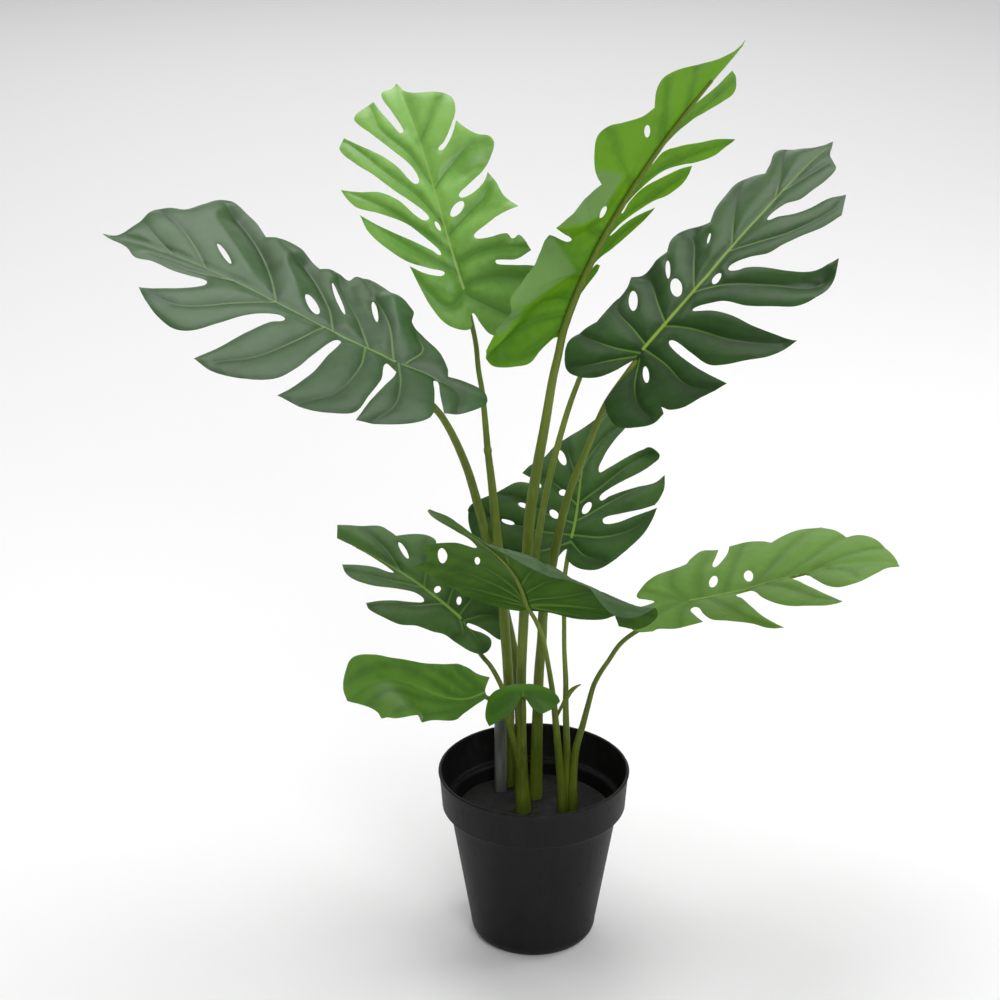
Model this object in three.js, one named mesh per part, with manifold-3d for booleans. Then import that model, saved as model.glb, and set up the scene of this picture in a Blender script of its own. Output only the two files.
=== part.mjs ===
// Potted monstera with moulded stalks and split leaves in a black nursery pot.
// Millimetres, +Z up, origin at the middle of the pot's underside, front towards -Y.
import * as THREE from 'three';
import { mergeVertices } from 'three/addons/utils/BufferGeometryUtils.js';
import Module from 'manifold-3d';

// ---- driving sizes ---------------------------------------------------------
const POT_HEIGHT = 145;
const POT_RIM_RADIUS = 75;
const POT_COLLAR_DEPTH = 31;
const POT_COLLAR_STEP = 9;
const POT_FOOT_RADIUS = 49.4;
const POT_FOOT_BEND = 12;
const POT_WALL = 1.8;
const POT_FLOOR = 3;
const FILLER_DROP = 40;
const FILLER_CLEAR = 2;
const FIT_GAP = 0.3;
const STALK_BURIED = 21;
const LEAF_THICKNESS = 0.8;
const RIB_CLEAR = 0.8;
const PLANT_SCALE = 1;
const GRID = 22;

// The plant's tables below are for a filler 62.5 mm in radius, its top 105 mm up.
const TABLE_LEVEL = 105;
const TABLE_RADIUS = 62.5;
const FEET_RISE = 120;

// What follows from them.
const POT_SHOULDER_RADIUS = POT_RIM_RADIUS - POT_COLLAR_STEP;
const FILLER_TOP = POT_HEIGHT - FILLER_DROP;
const FILLER_BOTTOM = POT_FOOT_BEND + FILLER_CLEAR;

const group = new THREE.Group();
group.name = 'potted_monstera';

const wasm = await Module();
wasm.setup();

// ---- materials -------------------------------------------------------------
const material = (name, color, roughness) =>
  new THREE.MeshStandardMaterial({ name, color, roughness, metalness: 0 });
const MATERIALS = {
  pot_plastic: material('pot_plastic', 0x26282a, 0.45),
  filler: material('filler', 0x303234, 0.75),
  tube_grey: material('tube_grey', 0x9a9c9c, 0.4),
  stalk: material('stalk', 0x6f7d35, 0.5),
  leaf_dark: material('leaf_dark', 0x456b46, 0.5),
  leaf_light: material('leaf_light', 0x7fae55, 0.5),
};

// ---- small helpers ---------------------------------------------------------
function piece(name, geometry, slot) {
  const mesh = new THREE.Mesh(geometry, MATERIALS[slot]);
  mesh.name = name;
  group.add(mesh);
  return mesh;
}

function toManifold(geometry) {
  const bare = geometry.clone();
  bare.deleteAttribute('normal');
  bare.deleteAttribute('uv');
  const merged = mergeVertices(bare, 1e-4);
  return new wasm.Manifold(new wasm.Mesh({
    numProp: 3,
    vertProperties: new Float32Array(merged.attributes.position.array),
    triVerts: new Uint32Array(merged.index.array),
  }));
}

function fromManifold(solid) {
  const mesh = solid.getMesh();
  const geometry = new THREE.BufferGeometry();
  const position = new Float32Array((mesh.vertProperties.length / mesh.numProp) * 3);
  for (let i = 0; i < position.length / 3; i += 1) {
    for (let k = 0; k < 3; k += 1) position[3 * i + k] = mesh.vertProperties[mesh.numProp * i + k];
  }
  geometry.setAttribute('position', new THREE.BufferAttribute(position, 3));
  geometry.setIndex(new THREE.BufferAttribute(new Uint32Array(mesh.triVerts), 1));
  geometry.computeVertexNormals();
  return geometry;
}

function indexed(points, triangles) {
  const geometry = new THREE.BufferGeometry();
  const position = points.flatMap((p) => [p.x, p.y, p.z]);
  geometry.setAttribute('position', new THREE.Float32BufferAttribute(position, 3));
  geometry.setIndex(triangles);
  geometry.computeVertexNormals();
  return geometry;
}

// The radius of the pot's inner wall under the collar.
function innerRadius(z) {
  const collar = POT_HEIGHT - POT_COLLAR_DEPTH;
  const share = (z - POT_FOOT_BEND) / (collar + 1.5 - POT_FOOT_BEND);
  return POT_FOOT_RADIUS - POT_WALL + (POT_SHOULDER_RADIUS - POT_FOOT_RADIUS) * share;
}

// A place in the plant's tables, as it stands on the filler at the plant's size:
// the feet spread as wide as the filler lets them, and the crown as the plant's size says.
function planted([x, y, z]) {
  const feet = innerRadius(FILLER_TOP) / TABLE_RADIUS;
  const share = THREE.MathUtils.smoothstep(z - TABLE_LEVEL, 0, FEET_RISE);
  const spread = feet + (PLANT_SCALE - feet) * share;
  return new THREE.Vector3(x * spread, y * spread, FILLER_TOP + (z - TABLE_LEVEL) * PLANT_SCALE);
}

function turned(profile, segments) {
  return new THREE.LatheGeometry(profile.map(([r, z]) => new THREE.Vector2(r, z)), segments)
    .rotateX(Math.PI / 2);
}

// A round stalk through { centre, radius } stations, closed at both ends.
function stalk(stations, sides = 10, spacing = 14) {
  const curve = new THREE.CatmullRomCurve3(stations.map((s) => s.centre), false, 'centripetal');
  const steps = Math.max(3, Math.round(curve.getLength() / spacing));
  const frames = curve.computeFrenetFrames(steps, false);
  const points = [];
  const triangles = [];
  for (let i = 0; i <= steps; i += 1) {
    const t = curve.getUtoTmapping(i / steps);
    const place = t * (stations.length - 1);
    const a = Math.min(stations.length - 2, Math.floor(place));
    const radius = stations[a].radius + (stations[a + 1].radius - stations[a].radius) * (place - a);
    const centre = curve.getPoint(t);
    for (let k = 0; k < sides; k += 1) {
      const angle = (2 * Math.PI * k) / sides;
      points.push(centre.clone()
        .addScaledVector(frames.normals[i], radius * Math.cos(angle))
        .addScaledVector(frames.binormals[i], radius * Math.sin(angle)));
    }
  }
  for (let i = 0; i < steps; i += 1) {
    for (let k = 0; k < sides; k += 1) {
      const a = i * sides + k;
      const b = i * sides + ((k + 1) % sides);
      triangles.push(a, b, b + sides, a, b + sides, a + sides);
    }
  }
  const last = steps * sides;
  for (let k = 1; k < sides - 1; k += 1) {
    triangles.push(0, k + 1, k, last, last + k, last + k + 1);
  }
  return indexed(points, triangles);
}

// ---- leaf shape ------------------------------------------------------------
// Every leaf is drawn flat in millimetres, [across, along] from the stalk joint
// to the tip (a third number 1 marks a sharp corner), then laid on a midrib
// curve; each half lifts by `rise` degrees and bends by `curl` degrees per
// 100 mm, the first value at the stalk, the second at the tip.
const DARK = 'leaf_dark';
const LIGHT = 'leaf_light';

const LEAVES = {
  leaf_far_left: {
    slot: DARK,
    midrib: [[-103, -15, 493], [-177, 32, 508], [-245, 81, 540], [-330, 110, 548]],
    up: [[0, -0.22, 1], [-0.2, -0.45, 0.9]],
    left: { rise: [8, 8], curl: [-20, -20] },
    right: { rise: [4, 0], curl: [-20, -12] },
    outline: [
      [0, 265, 1], [5, 251], [20, 244], [36, 240], [43, 231], [46, 220], [58, 212], [70, 205],
      [73, 196], [66, 175], [55, 158, 1], [60, 146], [59, 130], [52, 108, 1], [57, 98], [57, 85],
      [63, 83], [68, 73], [66, 50], [60, 27], [48, 19], [38, 0], [28, -20], [15, -36],
      [7, -42, 1], [9, -55], [8, -72], [-2, -82], [-15, -81], [-28, -75], [-35, -67, 1],
      [-18, -52], [-1, -38], [-3, -36], [-18, -47], [-39, -61, 1], [-47, -62], [-57, -56],
      [-68, -40], [-76, -19, 1], [-60, -17], [-35, -14], [-12, -9], [-4, 0], [-6, 3], [-12, 2],
      [-28, -7], [-50, -12], [-69, -14], [-77, -4], [-83, 15], [-82, 45, 1], [-72, 41],
      [-50, 38], [-25, 42], [-8, 44], [-5, 47], [-9, 50], [-30, 51], [-52, 51], [-70, 58],
      [-82, 78], [-86, 102], [-83, 123, 1], [-65, 113], [-40, 105], [-22, 98], [-15, 92],
      [-11, 94], [-12, 101], [-25, 117], [-45, 130], [-60, 141], [-66, 155], [-62, 175],
      [-52, 195], [-42, 209, 1], [-38, 195], [-30, 178], [-18, 164], [-12, 166], [-13, 178],
      [-15, 195], [-13, 215], [-15, 229], [-8, 240], [-4, 250],
    ],
    slots: [[13, 161, 25, 181, 4], [9, 78, 22, 98, 8], [21, 62, 46, 92, 4], [29, 38, 48, 56, 4]],
  },
  leaf_back_left: {
    slot: LIGHT,
    midrib: [[-54, 85, 513], [-73, 101, 567], [-83, 143, 610], [-107, 180, 647]],
    up: [[-0.15, -0.75, 0.6], [-0.2, -0.7, 0.7]],
    left: { rise: [8, 8], curl: [-25, -25] },
    right: { rise: [8, 8], curl: [-25, -25] },
    outline: [
      [0, 173, 1], [4, 163], [12, 157], [28, 150], [35, 142], [34, 132], [28, 123], [18, 112],
      [12, 108], [15, 106], [22, 111], [28, 118], [32, 124, 1], [37, 116], [44, 109],
      [52, 105], [54, 99], [48, 90], [38, 81], [25, 74], [17, 69], [19, 66], [30, 68],
      [38, 73], [43, 80, 1], [47, 70], [50, 58], [58, 47, 1], [43, 45], [32, 41], [20, 36],
      [21, 33], [30, 31], [44, 30], [47, 25], [53, 26], [58, 12, 1], [45, 9], [30, 13],
      [30, 10], [42, 5], [58, -2], [62, -12], [58, -25], [48, -34], [34, -41], [20, -43],
      [9, -40], [4, -30], [1, -20], [-2, -22], [-4, -30], [-12, -29], [-22, -20], [-28, -5],
      [-31, 10], [-34, 28, 1], [-25, 20], [-13, 14], [-10, 16], [-20, 22], [-35, 32],
      [-48, 47], [-57, 62], [-60, 77, 1], [-50, 66], [-38, 55], [-25, 44], [-14, 34],
      [-9, 29], [-9, 33], [-18, 47], [-28, 60], [-45, 73], [-60, 83], [-66, 93], [-69, 103, 1],
      [-55, 95], [-40, 89], [-28, 78], [-20, 65], [-14, 58], [-10, 58], [-11, 63], [-18, 73],
      [-30, 88], [-42, 106], [-52, 120], [-60, 138], [-54, 147, 1], [-45, 135], [-30, 117],
      [-22, 105], [-15, 90], [-11, 87], [-9, 91], [-12, 103], [-22, 120], [-33, 140],
      [-41, 157], [-38, 162], [-22, 166, 1], [-20, 155], [-16, 142], [-12, 131], [-9, 132],
      [-12, 150], [-14, 169], [-5, 170],
    ],
    slots: [[-6, 55, -4, 47, 3], [7, 55, 19, 63, 7]],
  },
  leaf_top: {
    slot: LIGHT,
    midrib: [[17, 0, 507], [37, -18, 590], [90, -14, 670], [149, 30, 722]],
    up: [[-0.42, 0.72, 0.55], [-0.42, 0.72, 0.5]],
    left: { rise: [8, 8], curl: [-25, -25] },
    right: { rise: [8, 8], curl: [10, 10] },
    outline: [
      [0, 263, 1], [4, 246], [12, 233], [25, 220], [36, 208], [40, 200], [37, 192],
      [28, 183, 1], [32, 174], [45, 163], [53, 157], [55, 149], [48, 139], [38, 129],
      [28, 123, 1], [31, 117], [35, 105], [38, 96], [42, 85, 1], [30, 81], [21, 78],
      [23, 75], [38, 76, 1], [42, 62], [52, 46], [58, 36], [54, 27], [55, 10], [60, -6, 1],
      [55, -18], [46, -26], [28, -26], [18, -23], [13, -12], [8, -5], [3, 0], [-1, -1],
      [-3, 12], [-4, 30], [-8, 42], [-13, 54], [-14, 62, 1], [-9, 63], [-5, 57], [-5, 62],
      [-9, 69], [-18, 76], [-27, 86], [-36, 103], [-40, 119, 1], [-32, 112], [-22, 102],
      [-12, 90], [-8, 88], [-11, 94], [-22, 108], [-35, 124], [-48, 135], [-55, 150],
      [-53, 166, 1], [-44, 159], [-30, 145], [-15, 130], [-10, 118], [-9, 108], [-5, 108],
      [-7, 116], [-12, 128], [-25, 149], [-42, 162], [-54, 170], [-68, 186], [-73, 200],
      [-78, 213, 1], [-60, 199], [-45, 186], [-25, 172], [-11, 162], [-8, 151], [-5, 150],
      [-5, 165], [-9, 180], [-18, 195], [-28, 208], [-38, 225], [-42, 240], [-30, 246],
      [-20, 245, 1], [-16, 225], [-10, 212], [-4, 203], [-2, 206], [-2, 225], [-2, 245],
    ],
    slots: [[15, 165, 24, 171, 5], [9, 102, 20, 110, 8]],
  },
  leaf_upper_right: {
    slot: DARK,
    midrib: [[79, 0, 497], [128, 28, 545], [172, 76, 584], [224, 115, 619]],
    up: [[-0.15, -0.5, 0.86], [-0.2, -0.35, 0.9]],
    left: { rise: [-5, -5], curl: [-22, -42] },
    right: { rise: [8, 8], curl: [-20, -20] },
    outline: [
      [0, 223, 1], [8, 211], [16, 206], [23, 201], [24, 190], [21, 175], [18, 163],
      [11, 155], [7, 141], [9, 136], [15, 142], [24, 150], [31, 160], [38, 174], [47, 184, 1],
      [57, 166, 1], [51, 150], [42, 136], [35, 123], [30, 111], [20, 102], [11, 90],
      [12, 85], [18, 87], [24, 93], [35, 99], [52, 106], [68, 116], [78, 134, 1], [85, 118],
      [85, 103], [78, 87], [65, 78], [45, 67], [28, 62], [20, 56], [12, 48], [11, 44],
      [16, 46], [25, 51], [40, 55], [60, 57], [93, 65, 1], [84, 45], [72, 33], [62, 23],
      [52, 17], [35, 17], [18, 18], [13, 16], [16, 13], [30, 11], [50, 11], [73, 14, 1],
      [65, -3], [60, -17], [53, -25], [46, -27, 1], [51, -30, 1], [50, -40], [42, -50],
      [30, -58], [18, -56], [8, -50], [5, -45], [4, -25], [4, -13], [1, -9], [-2, -14],
      [-7, -27], [-15, -38], [-28, -45], [-42, -46], [-53, -38], [-60, -27], [-57, -15],
      [-51, -3, 1], [-54, 18], [-54, 36], [-59, 46, 1], [-53, 55], [-46, 78, 1], [-53, 89],
      [-54, 97], [-48, 107], [-33, 116, 1], [-40, 130], [-44, 145], [-46, 160], [-40, 168],
      [-28, 175, 1], [-32, 185], [-38, 199], [-22, 205], [-10, 211],
    ],
    slots: [[-25, 107, -20, 98, 3], [-39, 71, -25, 57, 4], [-21, 59, -7, 48, 9],
      [-47, 35, -31, 21, 8], [8, 80, 9, 70, 6], [11, -10, 23, -19, 5]],
  },
  leaf_rear: {
    slot: DARK,
    midrib: [[30, 95, 300], [42, 121, 332], [30, 164, 357], [74, 180, 383]],
    up: [[0, -0.5, 0.85], [0, -0.5, 0.85]],
    left: { rise: [5, 5], curl: [-15, -15] },
    right: { rise: [5, 5], curl: [-15, -15] },
    outline: [
      [2, 132, 1], [14, 126], [20, 114], [19, 95], [15, 72], [14, 58], [20, 62], [28, 71],
      [36, 83], [43, 98], [48, 112], [55, 113], [58, 104], [57, 88], [52, 72], [45, 62],
      [35, 53], [25, 45], [17, 37], [18, 33], [24, 37], [33, 42], [45, 48], [59, 55],
      [66, 66, 1], [67, 50], [64, 39], [61, 34, 1], [50, 29], [35, 24], [22, 19], [23, 15],
      [33, 17], [45, 23], [63, 32, 1], [60, 22], [55, 12], [45, 0], [38, -10], [28, -20],
      [18, -23], [8, -22], [1, -17], [0, -10], [-3, -12], [-8, -22], [-22, -32], [-45, -34],
      [-66, -28], [-80, -14], [-86, 0], [-85, 14], [-78, 23], [-68, 30], [-60, 36],
      [-50, 42], [-40, 42], [-31, 39], [-31, 42], [-38, 46], [-47, 50, 1], [-42, 56],
      [-32, 63], [-25, 74], [-18, 82], [-10, 92], [-5, 104], [-4, 118],
    ],
    slots: [[5, 21, 10, 31, 6], [-16, 37, -10, 37, 6], [-21, 20, -14, 14, 6],
      [-47, 23, -39, 20, 5], [-58, 0, -47, -1, 4], [-21, 71, -14, 60, 6]],
  },
  leaf_lower_left: {
    slot: DARK,
    midrib: [[-58, 75, 239], [-89, 88, 264], [-121, 117, 271], [-158, 130, 284]],
    up: [[-0.1, -0.4, 0.9], [-0.1, -0.4, 0.9]],
    left: { rise: [5, 5], curl: [-15, -15] },
    right: { rise: [5, 5], curl: [-15, -15] },
    outline: [
      [10, 128, 1], [18, 113], [26, 100], [26, 91], [25, 84, 1], [33, 75], [39, 66],
      [40, 58], [36, 54], [27, 48], [25, 42], [32, 34], [40, 24], [46, 8], [42, -8],
      [32, -20], [22, -30], [13, -36], [8, -35], [6, -22], [3, -11], [0, -7], [-1, -12],
      [3, -22], [3, -30], [-5, -34], [-13, -31], [-18, -22], [-20, -10], [-22, 0], [-27, 8],
      [-32, 20], [-40, 30], [-44, 45], [-45, 58], [-42, 64, 1], [-33, 56], [-25, 47],
      [-15, 34], [-10, 30], [-8, 33], [-9, 42], [-15, 53], [-24, 68], [-28, 80], [-29, 90],
      [-27, 98], [-22, 105, 1], [-15, 93], [-9, 80], [-6, 69], [-3, 66], [-1, 85], [0, 105],
      [0, 123, 1],
    ],
    slots: [[3, 29, 9, 29, 5], [7, 8, 13, 12, 4], [13, 64, 21, 79, 4]],
  },
  leaf_front: {
    slot: DARK,
    midrib: [[-6, -25, 299], [-15, -58, 353], [-33, -113, 390], [-76, -140, 430]],
    up: [[0.1, 0.75, 0.66], [-0.2, 0.1, 0.98]],
    left: { rise: [5, 5], curl: [-15, -15] },
    right: { rise: [0, 0], curl: [-45, -45] },
    outline: [
      [-2, 193, 1], [5, 188], [9, 175], [6, 155], [5, 135], [7, 120], [10, 114], [14, 120],
      [19, 129], [29, 136], [38, 142, 1], [44, 133], [45, 122], [50, 119], [58, 119, 1],
      [56, 103], [54, 78], [48, 50], [42, 27], [32, 10], [20, -2], [8, -8], [2, -6],
      [-4, -8], [-16, -11], [-34, -19], [-54, -18], [-66, -10, 1], [-67, -26, 1], [-82, -26],
      [-95, -12], [-100, 5], [-88, 16], [-75, 26], [-61, 31], [-51, 33], [-42, 48],
      [-38, 60], [-27, 86], [-12, 108], [-5, 125], [-3, 140], [-5, 165], [-7, 182],
    ],
    slots: [[31, 129, 40, 103, 7], [16, 96, 20, 82, 4]],
  },
  leaf_lower_right: {
    slot: LIGHT,
    midrib: [[119, 10, 286], [173, 9, 295], [226, 16, 322], [276, -10, 326]],
    up: [[0.1, -0.1, 1], [0.3, -0.1, 0.95]],
    left: { rise: [5, 5], curl: [-20, -20] },
    right: { rise: [5, 5], curl: [-20, -20] },
    outline: [
      [3, 166, 1], [12, 159], [25, 154], [35, 144], [39, 133], [38, 122], [30, 110],
      [15, 99], [0, 90], [-2, 85], [0, 80], [10, 85], [25, 96], [40, 108], [50, 118],
      [60, 129, 1], [58, 114], [50, 95], [42, 76], [32, 64], [20, 55], [8, 50], [3, 45],
      [5, 36], [15, 40], [30, 46], [45, 53], [65, 68, 1], [58, 54], [48, 43], [40, 27],
      [35, 15], [25, 9], [14, 6], [12, 2], [17, 0], [26, 3], [36, 8, 1], [38, -5],
      [38, -15], [36, -26], [38, -30, 1], [36, -41], [28, -47], [15, -48], [3, -44],
      [-1, -32], [-4, -27], [-8, -32], [-13, -40], [-25, -37], [-40, -26], [-48, -14],
      [-53, 0], [-60, 4], [-70, 13], [-71, 18], [-66, 29, 1], [-55, 26], [-42, 22],
      [-38, 24], [-45, 30], [-57, 36], [-67, 38, 1], [-68, 50], [-62, 62], [-55, 69, 1],
      [-62, 77], [-69, 88], [-70, 102, 1], [-60, 111], [-47, 119, 1], [-50, 127],
      [-42, 137], [-25, 148], [-10, 158],
    ],
    slots: [[-23, 48, -8, 48, 7], [-26, 22, -11, 19, 7]],
  },
  leaf_small_left: {
    slot: LIGHT,
    midrib: [[-39, -10, 217], [-77, -36, 205], [-101, -35, 272], [-140, -70, 242]],
    up: [[-0.1, -0.6, 0.8], [-0.3, -0.5, 0.8]],
    left: { rise: [5, 5], curl: [-15, -15] },
    right: { rise: [-5, -5], curl: [-10, -10] },
    outline: [
      [0, 129, 1], [10, 123], [20, 112], [26, 103], [22, 92], [18, 82], [19, 62], [24, 45],
      [29, 28], [30, 12], [26, 0], [15, -5], [7, -11, 1], [4, -6], [1, -2], [-5, 1],
      [-8, 12], [-15, 24], [-22, 32], [-26, 48], [-34, 65], [-42, 84], [-51, 102],
      [-54, 112], [-50, 123], [-41, 129, 1], [-28, 126], [-12, 127],
    ],
    slots: [],
  },
  leaf_small_front: {
    slot: LIGHT,
    midrib: [[-9, -22, 218], [-9, -19, 223], [-9, -14, 226], [-9, -9, 228]],
    up: [[0, -0.8, 0.6], [0, -0.4, 0.9]],
    left: { rise: [0, 0], curl: [-60, -60] },
    right: { rise: [0, 0], curl: [-60, -60] },
    outline: [
      [0, 13, 1], [8, 12], [20, 9], [27, 3], [29, -2, 1], [24, -7], [14, -12, 1], [7, -7],
      [3, -1], [0, 2], [-3, -2], [-7, -9], [-14, -15], [-26, -21, 1], [-29, -14],
      [-28, -4], [-24, 5], [-15, 10], [-7, 12],
    ],
    slots: [],
  },
};

// ---- stalks: [x, y, z, radius] --------------------------------------------
const STALKS = {
  far_left: [[-8, 46, 108, 4], [-10, 50, 149, 4], [-14, 58, 205, 3.9], [-23, 62, 253, 3.8],
    [-32, 60, 296, 3.8], [-37, 54, 319, 3.7], [-43, 43, 350, 3.5], [-53, 22, 396, 3.1],
    [-68.5, -2, 442, 2.7], [-85, -15, 468, 2.5]],
  back_left: [[-19, 48, 106, 4.2], [-19, 48, 148, 4.2], [-20, 46, 201, 4], [-23, 46, 248, 4],
    [-27, 49, 302, 3.9], [-30, 54, 334, 3.6], [-33, 61, 363, 3.1], [-36, 66, 388, 2.6],
    [-40, 74, 432, 2.1], [-43, 77, 450, 2], [-45, 81, 470, 1.9], [-50, 84, 494, 1.9]],
  top: [[-8, 6, 102, 5.8], [-10, 6, 140, 5.4], [-10, 6, 178, 4], [-10, 5, 226, 3.8],
    [-8, 4, 280, 3.8], [-6, 3, 324, 4.3], [-4, 2, 361, 4.3], [1, 1, 399, 4],
    [7, 0, 437, 3.6], [12.5, -1, 474, 3.2], [16.5, -2, 494, 3]],
  spare: [[-4, 6, 280, 2.6], [1, 12, 324, 2.9], [6, 20, 357, 2.7], [13.5, 30, 391, 2.5],
    [22.5, 42, 422, 2.3], [29, 48, 441, 2.1], [38, 55, 462, 1.8], [47, 58, 478, 1.4]],
  upper_right: [[2, 27, 107, 4.9], [3, 27, 173, 4.3], [4, 25, 216, 3.9], [6, 23, 246, 3.8],
    [7, 21, 272, 3.8], [12, 18, 304, 3.8], [19, 14, 346, 3.4], [27, 10, 381, 2.9],
    [38, 4, 414, 2.5], [51, -2, 452, 2.3], [64, -5, 475, 2.2]],
  lower_left: [[-12, 6, 135, 3], [-17, 8, 174, 2.6], [-20, 16, 192, 2.3], [-26, 34, 201, 2],
    [-34, 52, 208, 1.9], [-41, 62, 212, 1.8], [-50, 70, 224, 1.8]],
  small_left: [[-12, 6, 144, 3], [-17, 3, 173, 2.5], [-23, -4, 197, 2], [-31, -9, 208, 1.8]],
  small_front: [[-9, 5, 149, 2.6], [-8, 0, 183, 2], [-8, -8, 203, 1.8], [-8, -15, 214, 1.5]],
  front: [[23, 6, 106, 3.8], [21, 5, 136, 3.4], [18, 2, 171, 2.9], [15, -2, 206, 2.3],
    [11, -8, 237, 1.9], [6, -15, 267, 1.7], [0, -22, 286, 1.7]],
  rear: [[27, 8, 104, 3.6], [26, 10, 156, 2.9], [25, 18, 187, 2.4], [25, 28, 208, 2.1],
    [24, 42, 227, 1.8], [24, 60, 246, 1.8], [24, 76, 267, 1.8], [27, 88, 286, 1.8]],
  lower_right: [[31, 6, 106, 3.8], [31, 6, 133, 3.3], [33, 6, 159, 2.9], [38, 7, 179, 2.5],
    [42, 8, 196, 2.2], [46, 8, 213, 2], [51, 9, 224, 1.9], [57, 9, 234, 1.8],
    [66, 9, 249, 1.8], [77, 9, 259, 1.8], [98, 9, 272, 1.8]],
  sprig: [[18, 1, 191, 1.2], [22, 0, 201, 1.3], [26, 0, 209, 2], [30, 0, 215, 1.7], [36, 0, 219, 0.4]],
};

// ---- leaf surface ----------------------------------------------------------
class LeafSurface {
  constructor(spec) {
    this.spec = spec;
    this.curve = new THREE.CubicBezierCurve3(...spec.midrib.map(planted));
    this.curve.arcLengthDivisions = 200;
    this.length = this.curve.getLength();
    this.up = spec.up.map((n) => new THREE.Vector3(...n).normalize());
  }

  frame(along) {
    const inside = Math.min(Math.max(along, 0), this.length);
    const k = inside / this.length;
    const centre = this.curve.getPointAt(k);
    const tangent = this.curve.getTangentAt(k);
    const up = this.up[0].clone().lerp(this.up[1], k);
    up.addScaledVector(tangent, -up.dot(tangent)).normalize();
    const across = new THREE.Vector3().crossVectors(tangent, up);
    centre.addScaledVector(tangent, along - inside);
    return { centre, tangent, up, across, k };
  }

  point(across, along) {
    const f = this.frame(along);
    const half = across < 0 ? this.spec.left : this.spec.right;
    const width = Math.abs(across);
    const rise = half.rise[0] + (half.rise[1] - half.rise[0]) * f.k;
    const curl = half.curl[0] + (half.curl[1] - half.curl[0]) * f.k;
    let out = 0;
    let lift = 0;
    const steps = 8;
    for (let i = 0; i < steps; i += 1) {
      const angle = ((rise + (curl * width * (i + 0.5)) / steps / 100 / PLANT_SCALE) * Math.PI) / 180;
      out += (Math.cos(angle) * width) / steps;
      lift += (Math.sin(angle) * width) / steps;
    }
    return f.centre.addScaledVector(f.across, Math.sign(across) * out).addScaledVector(f.up, lift);
  }

  normal(across, along) {
    const e = 0.5;
    const du = this.point(across, along + e).sub(this.point(across, along - e));
    const dv = this.point(across + e, along).sub(this.point(across - e, along));
    return dv.cross(du).normalize();
  }
}

// A smooth closed line through the outline's points, straight-ended at corners.
function smoothRing(points, parts) {
  const ring = [];
  const count = points.length;
  const vec = (i) => new THREE.Vector2(points[(i + count) % count][0], points[(i + count) % count][1])
    .multiplyScalar(PLANT_SCALE);
  const slope = (i, chord) => (points[(i + count) % count][2] === 1
    ? chord.clone()
    : vec(i + 1).sub(vec(i - 1)).normalize().multiplyScalar(chord.length()));
  for (let i = 0; i < count; i += 1) {
    const a = vec(i);
    const b = vec(i + 1);
    const chord = b.clone().sub(a);
    const from = slope(i, chord);
    const to = slope(i + 1, chord);
    for (let j = 0; j < parts; j += 1) {
      const t = j / parts;
      const h1 = 2 * t ** 3 - 3 * t ** 2 + 1;
      const h2 = t ** 3 - 2 * t ** 2 + t;
      const h3 = -2 * t ** 3 + 3 * t ** 2;
      const h4 = t ** 3 - t ** 2;
      ring.push(new THREE.Vector2(
        a.x * h1 + from.x * h2 + b.x * h3 + to.x * h4,
        a.y * h1 + from.y * h2 + b.y * h3 + to.y * h4));
    }
  }
  return ring;
}

// A round-ended slot between two points.
function slotRing([x1, y1, x2, y2, width], sides) {
  const a = new THREE.Vector2(x1, y1).multiplyScalar(PLANT_SCALE);
  const b = new THREE.Vector2(x2, y2).multiplyScalar(PLANT_SCALE);
  const middle = a.clone().add(b).multiplyScalar(0.5);
  const axis = b.clone().sub(a);
  const long = axis.length() / 2;
  axis.normalize();
  const ring = [];
  for (let i = 0; i < sides; i += 1) {
    const angle = (-2 * Math.PI * i) / sides;
    const u = Math.cos(angle) * long;
    const v = (Math.sin(angle) * width * PLANT_SCALE) / 2;
    ring.push(new THREE.Vector2(middle.x + axis.x * u - axis.y * v, middle.y + axis.y * u + axis.x * v));
  }
  return ring;
}

const turn = (a, b, c) => (b.x - a.x) * (c.y - a.y) - (b.y - a.y) * (c.x - a.x);

function inCircle(a, b, c, d) {
  const ax = a.x - d.x; const ay = a.y - d.y;
  const bx = b.x - d.x; const by = b.y - d.y;
  const cx = c.x - d.x; const cy = c.y - d.y;
  return (ax * ax + ay * ay) * (bx * cy - cx * by)
    - (bx * bx + by * by) * (ax * cy - cx * ay)
    + (cx * cx + cy * cy) * (ax * by - bx * ay);
}

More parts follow.
